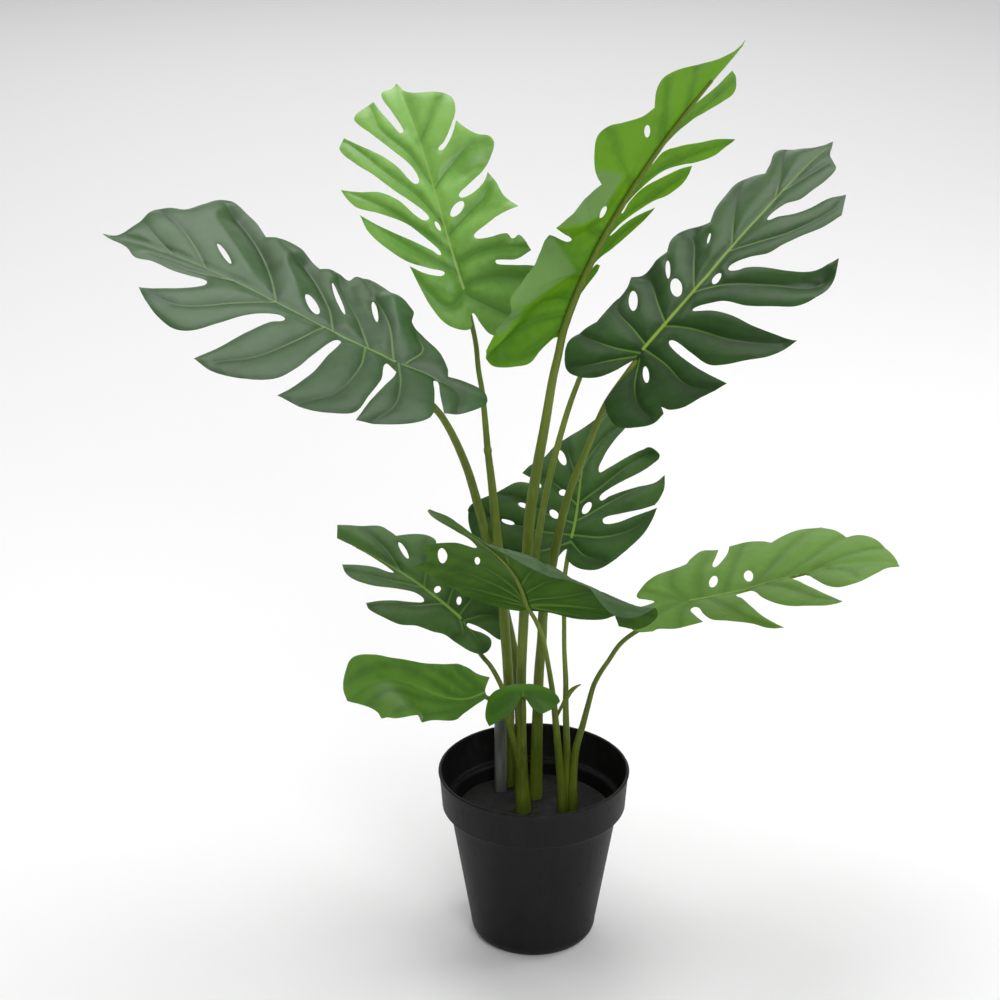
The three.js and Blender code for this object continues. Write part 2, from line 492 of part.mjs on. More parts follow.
// Flat triangles over an outline with holes and loose inner points.
function triangulate(outline, holes, inner) {
  const points = [...outline, ...holes.flat()];
  const faces = THREE.ShapeUtils.triangulateShape(outline, holes).map((f) => [...f]);
  for (const f of faces) {
    if (turn(points[f[0]], points[f[1]], points[f[2]]) < 0) f.reverse();
  }
  const fixed = new Set();
  const key = (a, b) => (a < b ? `${a},${b}` : `${b},${a}`);
  let start = 0;
  for (const ring of [outline, ...holes]) {
    ring.forEach((_, i) => fixed.add(key(start + i, start + ((i + 1) % ring.length))));
    start += ring.length;
  }
  for (const p of inner) {
    const at = faces.findIndex(([a, b, c]) => turn(points[a], points[b], p) >= 0
      && turn(points[b], points[c], p) >= 0 && turn(points[c], points[a], p) >= 0);
    if (at < 0) continue;
    const n = points.push(p) - 1;
    const [a, b, c] = faces[at];
    faces[at] = [a, b, n];
    faces.push([b, c, n], [c, a, n]);
  }
  const tiny = 1e-7;
  for (let round = 0; round < 60; round += 1) {
    const owner = new Map();
    faces.forEach((f, i) => {
      for (let k = 0; k < 3; k += 1) owner.set(`${f[k]},${f[(k + 1) % 3]}`, i);
    });
    let flips = 0;
    const touched = new Set();
    for (const [edge, i] of owner) {
      const [a, b] = edge.split(',').map(Number);
      const j = owner.get(`${b},${a}`);
      if (j === undefined || fixed.has(key(a, b)) || touched.has(i) || touched.has(j)) continue;
      const c = faces[i].find((v) => v !== a && v !== b);
      const d = faces[j].find((v) => v !== a && v !== b);
      const first = turn(points[a], points[d], points[c]);
      const second = turn(points[d], points[b], points[c]);
      if (first < tiny || second < tiny) continue;
      const flat = turn(points[a], points[b], points[c]) < tiny
        || turn(points[b], points[a], points[d]) < tiny;
      if (!flat && inCircle(points[a], points[b], points[c], points[d]) <= 1e-6) continue;
      faces[i] = [a, d, c];
      faces[j] = [d, b, c];
      touched.add(i).add(j);
      flips += 1;
    }
    if (flips === 0) break;
  }
  return { points, faces };
}

function insideRing(p, ring) {
  let inside = false;
  for (let i = 0, j = ring.length - 1; i < ring.length; j = i, i += 1) {
    const a = ring[i];
    const b = ring[j];
    if ((a.y > p.y) === (b.y > p.y)) continue;
    if (p.x < ((b.x - a.x) * (p.y - a.y)) / (b.y - a.y) + a.x) inside = !inside;
  }
  return inside;
}

function clearOfRings(p, rings, gap) {
  return rings.every((ring) => ring.every((a, i) => {
    const b = ring[(i + 1) % ring.length];
    const ab = b.clone().sub(a);
    const t = Math.min(1, Math.max(0, p.clone().sub(a).dot(ab) / ab.lengthSq()));
    return a.clone().addScaledVector(ab, t).distanceTo(p) > gap;
  }));
}

function blade(spec) {
  const surface = new LeafSurface(spec);
  const ring = smoothRing(spec.outline, 2);
  if (THREE.ShapeUtils.area(ring) < 0) ring.reverse();
  const holes = spec.slots.map((slot) => slotRing(slot, 10));
  const inner = [];
  const pitch = GRID * PLANT_SCALE;
  for (let along = -4 * pitch; along < surface.length; along += pitch * 0.7) {
    const shift = inner.length % 2 ? 0.5 : 0;
    for (let n = -6; n <= 6; n += 1) {
      const p = new THREE.Vector2(n * pitch + (n === 0 ? 0.01 : shift), along + 0.01 * n);
      const onBlade = insideRing(p, ring) && !holes.some((h) => insideRing(p, h));
      if (onBlade && clearOfRings(p, [ring, ...holes], 4 * PLANT_SCALE)) inner.push(p);
    }
  }
  const flat = triangulate(ring, holes, inner);
  const half = LEAF_THICKNESS / 2;
  const points = [];
  for (const p of flat.points) {
    const centre = surface.point(p.x, p.y);
    const normal = surface.normal(p.x, p.y);
    points.push(centre.clone().addScaledVector(normal, half), centre.clone().addScaledVector(normal, -half));
  }
  const triangles = [];
  for (const [a, b, c] of flat.faces) triangles.push(2 * a, 2 * b, 2 * c, 2 * a + 1, 2 * c + 1, 2 * b + 1);
  let start = 0;
  for (const loop of [ring, ...holes]) {
    loop.forEach((_, i) => {
      const a = start + i;
      const b = start + ((i + 1) % loop.length);
      triangles.push(2 * a, 2 * a + 1, 2 * b + 1, 2 * a, 2 * b + 1, 2 * b);
    });
    start += loop.length;
  }
  return indexed(points, triangles);
}

// The stalk runs on under the blade as a thinning rib.
function withRib(stations, spec, reach) {
  const surface = new LeafSurface(spec);
  const first = stations[stations.length - 1].radius;
  const rib = [];
  for (const k of [0.04, 0.12, 0.22, 0.34, 0.46, 0.58, 0.7, 0.85, 1]) {
    const along = k * reach * surface.length;
    const radius = Math.max(0.5, first * (1 - 0.8 * k));
    const f = surface.frame(along);
    const centre = f.centre.addScaledVector(f.up, -(LEAF_THICKNESS / 2 + RIB_CLEAR * PLANT_SCALE + radius));
    rib.push({ centre, radius });
  }
  return [...stations, ...rib];
}

function stations(name) {
  return STALKS[name].map(([x, y, z, radius]) => (
    { centre: planted([x, y, z]), radius: radius * PLANT_SCALE }));
}

// The same, with its foot sunk in the filler.
function rooted(name) {
  const above = stations(name);
  const { centre, radius } = above[0];
  const foot = FILLER_TOP - STALK_BURIED;
  const at = (z) => ({ centre: new THREE.Vector3(centre.x, centre.y, z), radius });
  return [at(foot), at((foot + centre.z) / 2), ...above];
}

// ---- pot, filler, tube -----------------------------------------------------
function potGeometry() {
  const h = POT_HEIGHT;
  const collar = h - POT_COLLAR_DEPTH;
  const lip = POT_RIM_RADIUS;
  const foot = [];
  const steps = 5;
  for (let i = 0; i <= steps; i += 1) {
    const angle = (Math.PI * i) / steps / 2;
    foot.push([
      POT_FOOT_RADIUS - 0.75 * POT_FOOT_BEND * (1 - Math.sin(angle)),
      POT_FOOT_BEND * (1 - Math.cos(angle)),
    ]);
  }
  return turned([
    [0, 0], ...foot,
    [POT_SHOULDER_RADIUS, collar - 1], [lip - 3.5, collar + 1], [lip - 3, collar + 2.5],
    [lip - 0.8, h - 2], [lip - 1, h - 0.5], [lip - 2, h], [lip - 2.6, h - 1],
    [lip - 3 - POT_WALL, collar + 4], [POT_SHOULDER_RADIUS - POT_WALL, collar + 1.5],
    [POT_FOOT_RADIUS - POT_WALL, POT_FOOT_BEND], [POT_FOOT_RADIUS - 0.75 * POT_FOOT_BEND, POT_FLOOR],
    [0, POT_FLOOR],
  ], 72);
}

function fillerSolid(feet) {
  const top = innerRadius(FILLER_TOP) - FIT_GAP;
  const bottom = innerRadius(FILLER_BOTTOM) - FIT_GAP;
  const profile = [[0, FILLER_BOTTOM], [bottom, FILLER_BOTTOM], [top, FILLER_TOP], [0, FILLER_TOP]];
  let solid = toManifold(turned(profile, 72));
  for (const [x, y, radius] of feet) {
    const drill = new THREE.CylinderGeometry(radius + FIT_GAP, radius + FIT_GAP, 60, 24)
      .rotateX(Math.PI / 2).translate(x, y, FILLER_TOP - STALK_BURIED - FIT_GAP + 30);
    solid = solid.subtract(toManifold(drill));
  }
  return fromManifold(solid);
}

function joined(...geometries) {
  return fromManifold(geometries.map(toManifold).reduce((a, b) => a.add(b)));
}

// ---- assembly --------------------------------------------------------------
const TUBE = { foot: [-26, 39, TABLE_LEVEL], rise: 81, radius: 5 };

function tubeGeometry() {
  const radius = TUBE.radius * PLANT_SCALE;
  const { x, y, z } = planted(TUBE.foot);
  const length = TUBE.rise * PLANT_SCALE + STALK_BURIED;
  return new THREE.CylinderGeometry(radius, radius, length, 24)
    .rotateX(Math.PI / 2).translate(x, y, z - STALK_BURIED + length / 2);
}

piece('pot', potGeometry(), 'pot_plastic');
piece('tube_core', tubeGeometry(), 'tube_grey');

piece('stalk_far_left', stalk(withRib(rooted('far_left'), LEAVES.leaf_far_left, 0.85)), 'stalk');
piece('stalk_back_left', stalk(withRib(rooted('back_left'), LEAVES.leaf_back_left, 0.85)), 'stalk');
piece('stalk_upper_right', stalk(withRib(rooted('upper_right'), LEAVES.leaf_upper_right, 0.85)), 'stalk');
piece('stalk_front', joined(
  stalk(withRib(rooted('top'), LEAVES.leaf_top, 0.85)),
  stalk(stations('spare')),
  stalk(withRib(stations('lower_left'), LEAVES.leaf_lower_left, 0.85), 8),
  stalk(withRib(stations('small_left'), LEAVES.leaf_small_left, 0.8), 8),
  stalk(stations('small_front'), 8),
), 'stalk');
piece('stalk_cluster', joined(
  stalk(withRib(rooted('front'), LEAVES.leaf_front, 0.8)),
  stalk(withRib(rooted('rear'), LEAVES.leaf_rear, 0.85)),
  stalk(withRib(rooted('lower_right'), LEAVES.leaf_lower_right, 0.85)),
  stalk(stations('sprig'), 6),
), 'stalk');

const sunk = ['far_left', 'back_left', 'top', 'upper_right', 'front', 'rear', 'lower_right'].map((name) => {
  const { centre, radius } = stations(name)[0];
  return [centre.x, centre.y, radius];
});
sunk.push([planted(TUBE.foot).x, planted(TUBE.foot).y, TUBE.radius * PLANT_SCALE]);
piece('filler', fillerSolid(sunk), 'filler');

for (const [name, spec] of Object.entries(LEAVES)) piece(name, blade(spec), spec.slot);

export default group;
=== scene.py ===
"""Looks for a potted monstera: split leaves on olive stalks in a black nursery pot."""

import math

import bpy
import numpy as np
from mathutils import Matrix, Vector, noise
from mathutils.geometry import delaunay_2d_cdt


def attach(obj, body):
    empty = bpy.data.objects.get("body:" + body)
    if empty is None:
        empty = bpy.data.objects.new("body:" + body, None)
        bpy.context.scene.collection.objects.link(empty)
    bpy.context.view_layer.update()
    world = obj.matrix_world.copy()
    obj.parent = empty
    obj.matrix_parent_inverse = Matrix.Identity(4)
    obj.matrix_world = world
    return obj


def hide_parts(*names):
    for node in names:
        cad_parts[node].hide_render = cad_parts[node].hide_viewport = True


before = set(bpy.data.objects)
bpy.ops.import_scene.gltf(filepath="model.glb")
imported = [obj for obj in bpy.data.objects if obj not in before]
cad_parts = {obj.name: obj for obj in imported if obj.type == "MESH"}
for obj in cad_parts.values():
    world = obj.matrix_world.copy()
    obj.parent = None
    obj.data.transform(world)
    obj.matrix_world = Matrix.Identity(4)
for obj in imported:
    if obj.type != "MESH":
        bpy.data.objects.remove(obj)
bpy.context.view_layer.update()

MM = 0.001
BODY = "root"
DARK = "leaf_dark"
LIGHT = "leaf_light"

# ---- sizes, in millimetres --------------------------------------------------
POT_HEIGHT = 145
POT_RIM_RADIUS = 75
POT_COLLAR_DEPTH = 31
POT_SHOULDER_RADIUS = 66
POT_FOOT_RADIUS = 49.4
POT_FOOT_BEND = 12
POT_WALL = 1.8
POT_FLOOR = 3
FILLER_TOP = 105
FILLER_BOTTOM = 14
STALK_FOOT = 84
JOINT_STATION = 8
JOINT_SWELL = 0.55
TUBE = {"x": -26, "y": 39, "radius": 5, "wall": 1.1, "top": 186}
BLADE_THICKNESS = 0.7
RIB_CLEAR = 0.15

# ---- fineness of the meshes, lengths in millimetres -------------------------
MESH_PITCH = 2.4
EDGE_PITCH = 1.6
VEIN_PITCH = 2.2
HEM_PITCH = 4.0
STALK_PITCH = 3.0
STALK_RING_GAP = 2.0
MIDRIB_STEPS = 60
CURL_STEPS = 8
SLOT_SIDES = 22
STALK_SIDES = 20
TUBE_SIDES = 40
FILLER_SIDES = 120
FILLER_RINGS = 34
POT_SIDES = 160

# ---- leaves: [across, along] outlines on a midrib curve, as in the model ----------
LEAVES = {
    "leaf_far_left": {
        "slot": DARK,
        "midrib": [[-103, -15, 493], [-177, 32, 508], [-245, 81, 540], [-330, 110, 548]],
        "up": [[0, -0.22, 1], [-0.2, -0.45, 0.9]],
        "left": {"rise": [8, 8], "curl": [-20, -20]},
        "right": {"rise": [4, 0], "curl": [-20, -12]},
        "outline": [
            [0, 265, 1], [5, 251], [20, 244], [36, 240], [43, 231], [46, 220], [58, 212], [70, 205],
            [73, 196], [66, 175], [55, 158, 1], [60, 146], [59, 130], [52, 108, 1], [57, 98], [57, 85],
            [63, 83], [68, 73], [66, 50], [60, 27], [48, 19], [38, 0], [28, -20], [15, -36],
            [7, -42, 1], [9, -55], [8, -72], [-2, -82], [-15, -81], [-28, -75], [-35, -67, 1],
            [-18, -52], [-1, -38], [-3, -36], [-18, -47], [-39, -61, 1], [-47, -62], [-57, -56],
            [-68, -40], [-76, -19, 1], [-60, -17], [-35, -14], [-12, -9], [-4, 0], [-6, 3], [-12, 2],
            [-28, -7], [-50, -12], [-69, -14], [-77, -4], [-83, 15], [-82, 45, 1], [-72, 41],
            [-50, 38], [-25, 42], [-8, 44], [-5, 47], [-9, 50], [-30, 51], [-52, 51], [-70, 58],
            [-82, 78], [-86, 102], [-83, 123, 1], [-65, 113], [-40, 105], [-22, 98], [-15, 92],
            [-11, 94], [-12, 101], [-25, 117], [-45, 130], [-60, 141], [-66, 155], [-62, 175],
            [-52, 195], [-42, 209, 1], [-38, 195], [-30, 178], [-18, 164], [-12, 166], [-13, 178],
            [-15, 195], [-13, 215], [-15, 229], [-8, 240], [-4, 250],
        ],
        "slots": [[13, 161, 25, 181, 4], [9, 78, 22, 98, 8], [21, 62, 46, 92, 4], [29, 38, 48, 56, 4]],
    },
    "leaf_back_left": {
        "slot": LIGHT,
        "midrib": [[-54, 85, 513], [-73, 101, 567], [-83, 143, 610], [-107, 180, 647]],
        "up": [[-0.15, -0.75, 0.6], [-0.2, -0.7, 0.7]],
        "left": {"rise": [8, 8], "curl": [-25, -25]},
        "right": {"rise": [8, 8], "curl": [-25, -25]},
        "outline": [
            [0, 173, 1], [4, 163], [12, 157], [28, 150], [35, 142], [34, 132], [28, 123], [18, 112],
            [12, 108], [15, 106], [22, 111], [28, 118], [32, 124, 1], [37, 116], [44, 109],
            [52, 105], [54, 99], [48, 90], [38, 81], [25, 74], [17, 69], [19, 66], [30, 68],
            [38, 73], [43, 80, 1], [47, 70], [50, 58], [58, 47, 1], [43, 45], [32, 41], [20, 36],
            [21, 33], [30, 31], [44, 30], [47, 25], [53, 26], [58, 12, 1], [45, 9], [30, 13],
            [30, 10], [42, 5], [58, -2], [62, -12], [58, -25], [48, -34], [34, -41], [20, -43],
            [9, -40], [4, -30], [1, -20], [-2, -22], [-4, -30], [-12, -29], [-22, -20], [-28, -5],
            [-31, 10], [-34, 28, 1], [-25, 20], [-13, 14], [-10, 16], [-20, 22], [-35, 32],
            [-48, 47], [-57, 62], [-60, 77, 1], [-50, 66], [-38, 55], [-25, 44], [-14, 34],
            [-9, 29], [-9, 33], [-18, 47], [-28, 60], [-45, 73], [-60, 83], [-66, 93], [-69, 103, 1],
            [-55, 95], [-40, 89], [-28, 78], [-20, 65], [-14, 58], [-10, 58], [-11, 63], [-18, 73],
            [-30, 88], [-42, 106], [-52, 120], [-60, 138], [-54, 147, 1], [-45, 135], [-30, 117],
            [-22, 105], [-15, 90], [-11, 87], [-9, 91], [-12, 103], [-22, 120], [-33, 140],
            [-41, 157], [-38, 162], [-22, 166, 1], [-20, 155], [-16, 142], [-12, 131], [-9, 132],
            [-12, 150], [-14, 169], [-5, 170],
        ],
        "slots": [[-6, 55, -4, 47, 3], [7, 55, 19, 63, 7]],
    },
    "leaf_top": {
        "slot": LIGHT,
        "midrib": [[17, 0, 507], [37, -18, 590], [90, -14, 670], [149, 30, 722]],
        "up": [[-0.42, 0.72, 0.55], [-0.42, 0.72, 0.5]],
        "left": {"rise": [8, 8], "curl": [-25, -25]},
        "right": {"rise": [8, 8], "curl": [10, 10]},
        "outline": [
            [0, 263, 1], [4, 246], [12, 233], [25, 220], [36, 208], [40, 200], [37, 192],
            [28, 183, 1], [32, 174], [45, 163], [53, 157], [55, 149], [48, 139], [38, 129],
            [28, 123, 1], [31, 117], [35, 105], [38, 96], [42, 85, 1], [30, 81], [21, 78],
            [23, 75], [38, 76, 1], [42, 62], [52, 46], [58, 36], [54, 27], [55, 10], [60, -6, 1],
            [55, -18], [46, -26], [28, -26], [18, -23], [13, -12], [8, -5], [3, 0], [-1, -1],
            [-3, 12], [-4, 30], [-8, 42], [-13, 54], [-14, 62, 1], [-9, 63], [-5, 57], [-5, 62],
            [-9, 69], [-18, 76], [-27, 86], [-36, 103], [-40, 119, 1], [-32, 112], [-22, 102],
            [-12, 90], [-8, 88], [-11, 94], [-22, 108], [-35, 124], [-48, 135], [-55, 150],
            [-53, 166, 1], [-44, 159], [-30, 145], [-15, 130], [-10, 118], [-9, 108], [-5, 108],
            [-7, 116], [-12, 128], [-25, 149], [-42, 162], [-54, 170], [-68, 186], [-73, 200],
            [-78, 213, 1], [-60, 199], [-45, 186], [-25, 172], [-11, 162], [-8, 151], [-5, 150],
            [-5, 165], [-9, 180], [-18, 195], [-28, 208], [-38, 225], [-42, 240], [-30, 246],
            [-20, 245, 1], [-16, 225], [-10, 212], [-4, 203], [-2, 206], [-2, 225], [-2, 245],
        ],
        "slots": [[15, 165, 24, 171, 5], [9, 102, 20, 110, 8]],
    },
    "leaf_upper_right": {
        "slot": DARK,
        "midrib": [[79, 0, 497], [128, 28, 545], [172, 76, 584], [224, 115, 619]],
        "up": [[-0.15, -0.5, 0.86], [-0.2, -0.35, 0.9]],
        "left": {"rise": [-5, -5], "curl": [-22, -42]},
        "right": {"rise": [8, 8], "curl": [-20, -20]},
        "outline": [
            [0, 223, 1], [8, 211], [16, 206], [23, 201], [24, 190], [21, 175], [18, 163],
            [11, 155], [7, 141], [9, 136], [15, 142], [24, 150], [31, 160], [38, 174], [47, 184, 1],
            [57, 166, 1], [51, 150], [42, 136], [35, 123], [30, 111], [20, 102], [11, 90],
            [12, 85], [18, 87], [24, 93], [35, 99], [52, 106], [68, 116], [78, 134, 1], [85, 118],
            [85, 103], [78, 87], [65, 78], [45, 67], [28, 62], [20, 56], [12, 48], [11, 44],
            [16, 46], [25, 51], [40, 55], [60, 57], [93, 65, 1], [84, 45], [72, 33], [62, 23],
            [52, 17], [35, 17], [18, 18], [13, 16], [16, 13], [30, 11], [50, 11], [73, 14, 1],
            [65, -3], [60, -17], [53, -25], [46, -27, 1], [51, -30, 1], [50, -40], [42, -50],
            [30, -58], [18, -56], [8, -50], [5, -45], [4, -25], [4, -13], [1, -9], [-2, -14],
            [-7, -27], [-15, -38], [-28, -45], [-42, -46], [-53, -38], [-60, -27], [-57, -15],
            [-51, -3, 1], [-54, 18], [-54, 36], [-59, 46, 1], [-53, 55], [-46, 78, 1], [-53, 89],
            [-54, 97], [-48, 107], [-33, 116, 1], [-40, 130], [-44, 145], [-46, 160], [-40, 168],
            [-28, 175, 1], [-32, 185], [-38, 199], [-22, 205], [-10, 211],
        ],
        "slots": [[-25, 107, -20, 98, 3], [-39, 71, -25, 57, 4], [-21, 59, -7, 48, 9],
            [-47, 35, -31, 21, 8], [8, 80, 9, 70, 6], [11, -10, 23, -19, 5]],
    },
    "leaf_rear": {
        "slot": DARK,
        "midrib": [[30, 95, 300], [42, 121, 332], [30, 164, 357], [74, 180, 383]],
        "up": [[0, -0.5, 0.85], [0, -0.5, 0.85]],
        "left": {"rise": [5, 5], "curl": [-15, -15]},
        "right": {"rise": [5, 5], "curl": [-15, -15]},
        "outline": [
            [2, 132, 1], [14, 126], [20, 114], [19, 95], [15, 72], [14, 58], [20, 62], [28, 71],
            [36, 83], [43, 98], [48, 112], [55, 113], [58, 104], [57, 88], [52, 72], [45, 62],
            [35, 53], [25, 45], [17, 37], [18, 33], [24, 37], [33, 42], [45, 48], [59, 55],
            [66, 66, 1], [67, 50], [64, 39], [61, 34, 1], [50, 29], [35, 24], [22, 19], [23, 15],
            [33, 17], [45, 23], [63, 32, 1], [60, 22], [55, 12], [45, 0], [38, -10], [28, -20],
            [18, -23], [8, -22], [1, -17], [0, -10], [-3, -12], [-8, -22], [-22, -32], [-45, -34],
            [-66, -28], [-80, -14], [-86, 0], [-85, 14], [-78, 23], [-68, 30], [-60, 36],
            [-50, 42], [-40, 42], [-31, 39], [-31, 42], [-38, 46], [-47, 50, 1], [-42, 56],
            [-32, 63], [-25, 74], [-18, 82], [-10, 92], [-5, 104], [-4, 118],
        ],
        "slots": [[5, 21, 10, 31, 6], [-16, 37, -10, 37, 6], [-21, 20, -14, 14, 6],
            [-47, 23, -39, 20, 5], [-58, 0, -47, -1, 4], [-21, 71, -14, 60, 6]],
    },
    "leaf_lower_left": {
        "slot": DARK,
        "midrib": [[-58, 75, 239], [-89, 88, 264], [-121, 117, 271], [-158, 130, 284]],
        "up": [[-0.1, -0.4, 0.9], [-0.1, -0.4, 0.9]],
        "left": {"rise": [5, 5], "curl": [-15, -15]},
        "right": {"rise": [5, 5], "curl": [-15, -15]},
        "outline": [
            [10, 128, 1], [18, 113], [26, 100], [26, 91], [25, 84, 1], [33, 75], [39, 66],
            [40, 58], [36, 54], [27, 48], [25, 42], [32, 34], [40, 24], [46, 8], [42, -8],
            [32, -20], [22, -30], [13, -36], [8, -35], [6, -22], [3, -11], [0, -7], [-1, -12],
            [3, -22], [3, -30], [-5, -34], [-13, -31], [-18, -22], [-20, -10], [-22, 0], [-27, 8],
            [-32, 20], [-40, 30], [-44, 45], [-45, 58], [-42, 64, 1], [-33, 56], [-25, 47],
            [-15, 34], [-10, 30], [-8, 33], [-9, 42], [-15, 53], [-24, 68], [-28, 80], [-29, 90],
            [-27, 98], [-22, 105, 1], [-15, 93], [-9, 80], [-6, 69], [-3, 66], [-1, 85], [0, 105],
            [0, 123, 1],
        ],
        "slots": [[3, 29, 9, 29, 5], [7, 8, 13, 12, 4], [13, 64, 21, 79, 4]],
    },
    "leaf_front": {
        "slot": DARK,
        "midrib": [[-6, -25, 299], [-15, -58, 353], [-33, -113, 390], [-76, -140, 430]],
        "up": [[0.1, 0.75, 0.66], [-0.2, 0.1, 0.98]],
        "left": {"rise": [5, 5], "curl": [-15, -15]},
        "right": {"rise": [0, 0], "curl": [-45, -45]},
        "outline": [
            [-2, 193, 1], [5, 188], [9, 175], [6, 155], [5, 135], [7, 120], [10, 114], [14, 120],
            [19, 129], [29, 136], [38, 142, 1], [44, 133], [45, 122], [50, 119], [58, 119, 1],
            [56, 103], [54, 78], [48, 50], [42, 27], [32, 10], [20, -2], [8, -8], [2, -6],
            [-4, -8], [-16, -11], [-34, -19], [-54, -18], [-66, -10, 1], [-67, -26, 1], [-82, -26],
            [-95, -12], [-100, 5], [-88, 16], [-75, 26], [-61, 31], [-51, 33], [-42, 48],
            [-38, 60], [-27, 86], [-12, 108], [-5, 125], [-3, 140], [-5, 165], [-7, 182],
        ],
        "slots": [[31, 129, 40, 103, 7], [16, 96, 20, 82, 4]],
    },
    "leaf_lower_right": {
        "slot": LIGHT,
        "midrib": [[119, 10, 286], [173, 9, 295], [226, 16, 322], [276, -10, 326]],
        "up": [[0.1, -0.1, 1], [0.3, -0.1, 0.95]],
        "left": {"rise": [5, 5], "curl": [-20, -20]},
        "right": {"rise": [5, 5], "curl": [-20, -20]},
        "outline": [
            [3, 166, 1], [12, 159], [25, 154], [35, 144], [39, 133], [38, 122], [30, 110],
            [15, 99], [0, 90], [-2, 85], [0, 80], [10, 85], [25, 96], [40, 108], [50, 118],
            [60, 129, 1], [58, 114], [50, 95], [42, 76], [32, 64], [20, 55], [8, 50], [3, 45],
            [5, 36], [15, 40], [30, 46], [45, 53], [65, 68, 1], [58, 54], [48, 43], [40, 27],
            [35, 15], [25, 9], [14, 6], [12, 2], [17, 0], [26, 3], [36, 8, 1], [38, -5],
            [38, -15], [36, -26], [38, -30, 1], [36, -41], [28, -47], [15, -48], [3, -44],
            [-1, -32], [-4, -27], [-8, -32], [-13, -40], [-25, -37], [-40, -26], [-48, -14],
            [-53, 0], [-60, 4], [-70, 13], [-71, 18], [-66, 29, 1], [-55, 26], [-42, 22],
            [-38, 24], [-45, 30], [-57, 36], [-67, 38, 1], [-68, 50], [-62, 62], [-55, 69, 1],
            [-62, 77], [-69, 88], [-70, 102, 1], [-60, 111], [-47, 119, 1], [-50, 127],
            [-42, 137], [-25, 148], [-10, 158],
        ],
        "slots": [[-23, 48, -8, 48, 7], [-26, 22, -11, 19, 7]],
    },
    "leaf_small_left": {
        "slot": LIGHT,
        "midrib": [[-39, -10, 217], [-77, -36, 205], [-101, -35, 272], [-140, -70, 242]],
        "up": [[-0.1, -0.6, 0.8], [-0.3, -0.5, 0.8]],
        "left": {"rise": [5, 5], "curl": [-15, -15]},
        "right": {"rise": [-5, -5], "curl": [-10, -10]},
        "outline": [
            [0, 129, 1], [10, 123], [20, 112], [26, 103], [22, 92], [18, 82], [19, 62], [24, 45],
            [29, 28], [30, 12], [26, 0], [15, -5], [7, -11, 1], [4, -6], [1, -2], [-5, 1],
            [-8, 12], [-15, 24], [-22, 32], [-26, 48], [-34, 65], [-42, 84], [-51, 102],
            [-54, 112], [-50, 123], [-41, 129, 1], [-28, 126], [-12, 127],
        ],
        "slots": [],
    },
    "leaf_small_front": {
        "slot": LIGHT,
        "midrib": [[-9, -22, 218], [-9, -19, 223], [-9, -14, 226], [-9, -9, 228]],
        "up": [[0, -0.8, 0.6], [0, -0.4, 0.9]],
        "left": {"rise": [0, 0], "curl": [-60, -60]},
        "right": {"rise": [0, 0], "curl": [-60, -60]},
        "outline": [
            [0, 13, 1], [8, 12], [20, 9], [27, 3], [29, -2, 1], [24, -7], [14, -12, 1], [7, -7],
            [3, -1], [0, 2], [-3, -2], [-7, -9], [-14, -15], [-26, -21, 1], [-29, -14],
            [-28, -4], [-24, 5], [-15, 10], [-7, 12],
        ],
        "slots": [],
    },
}

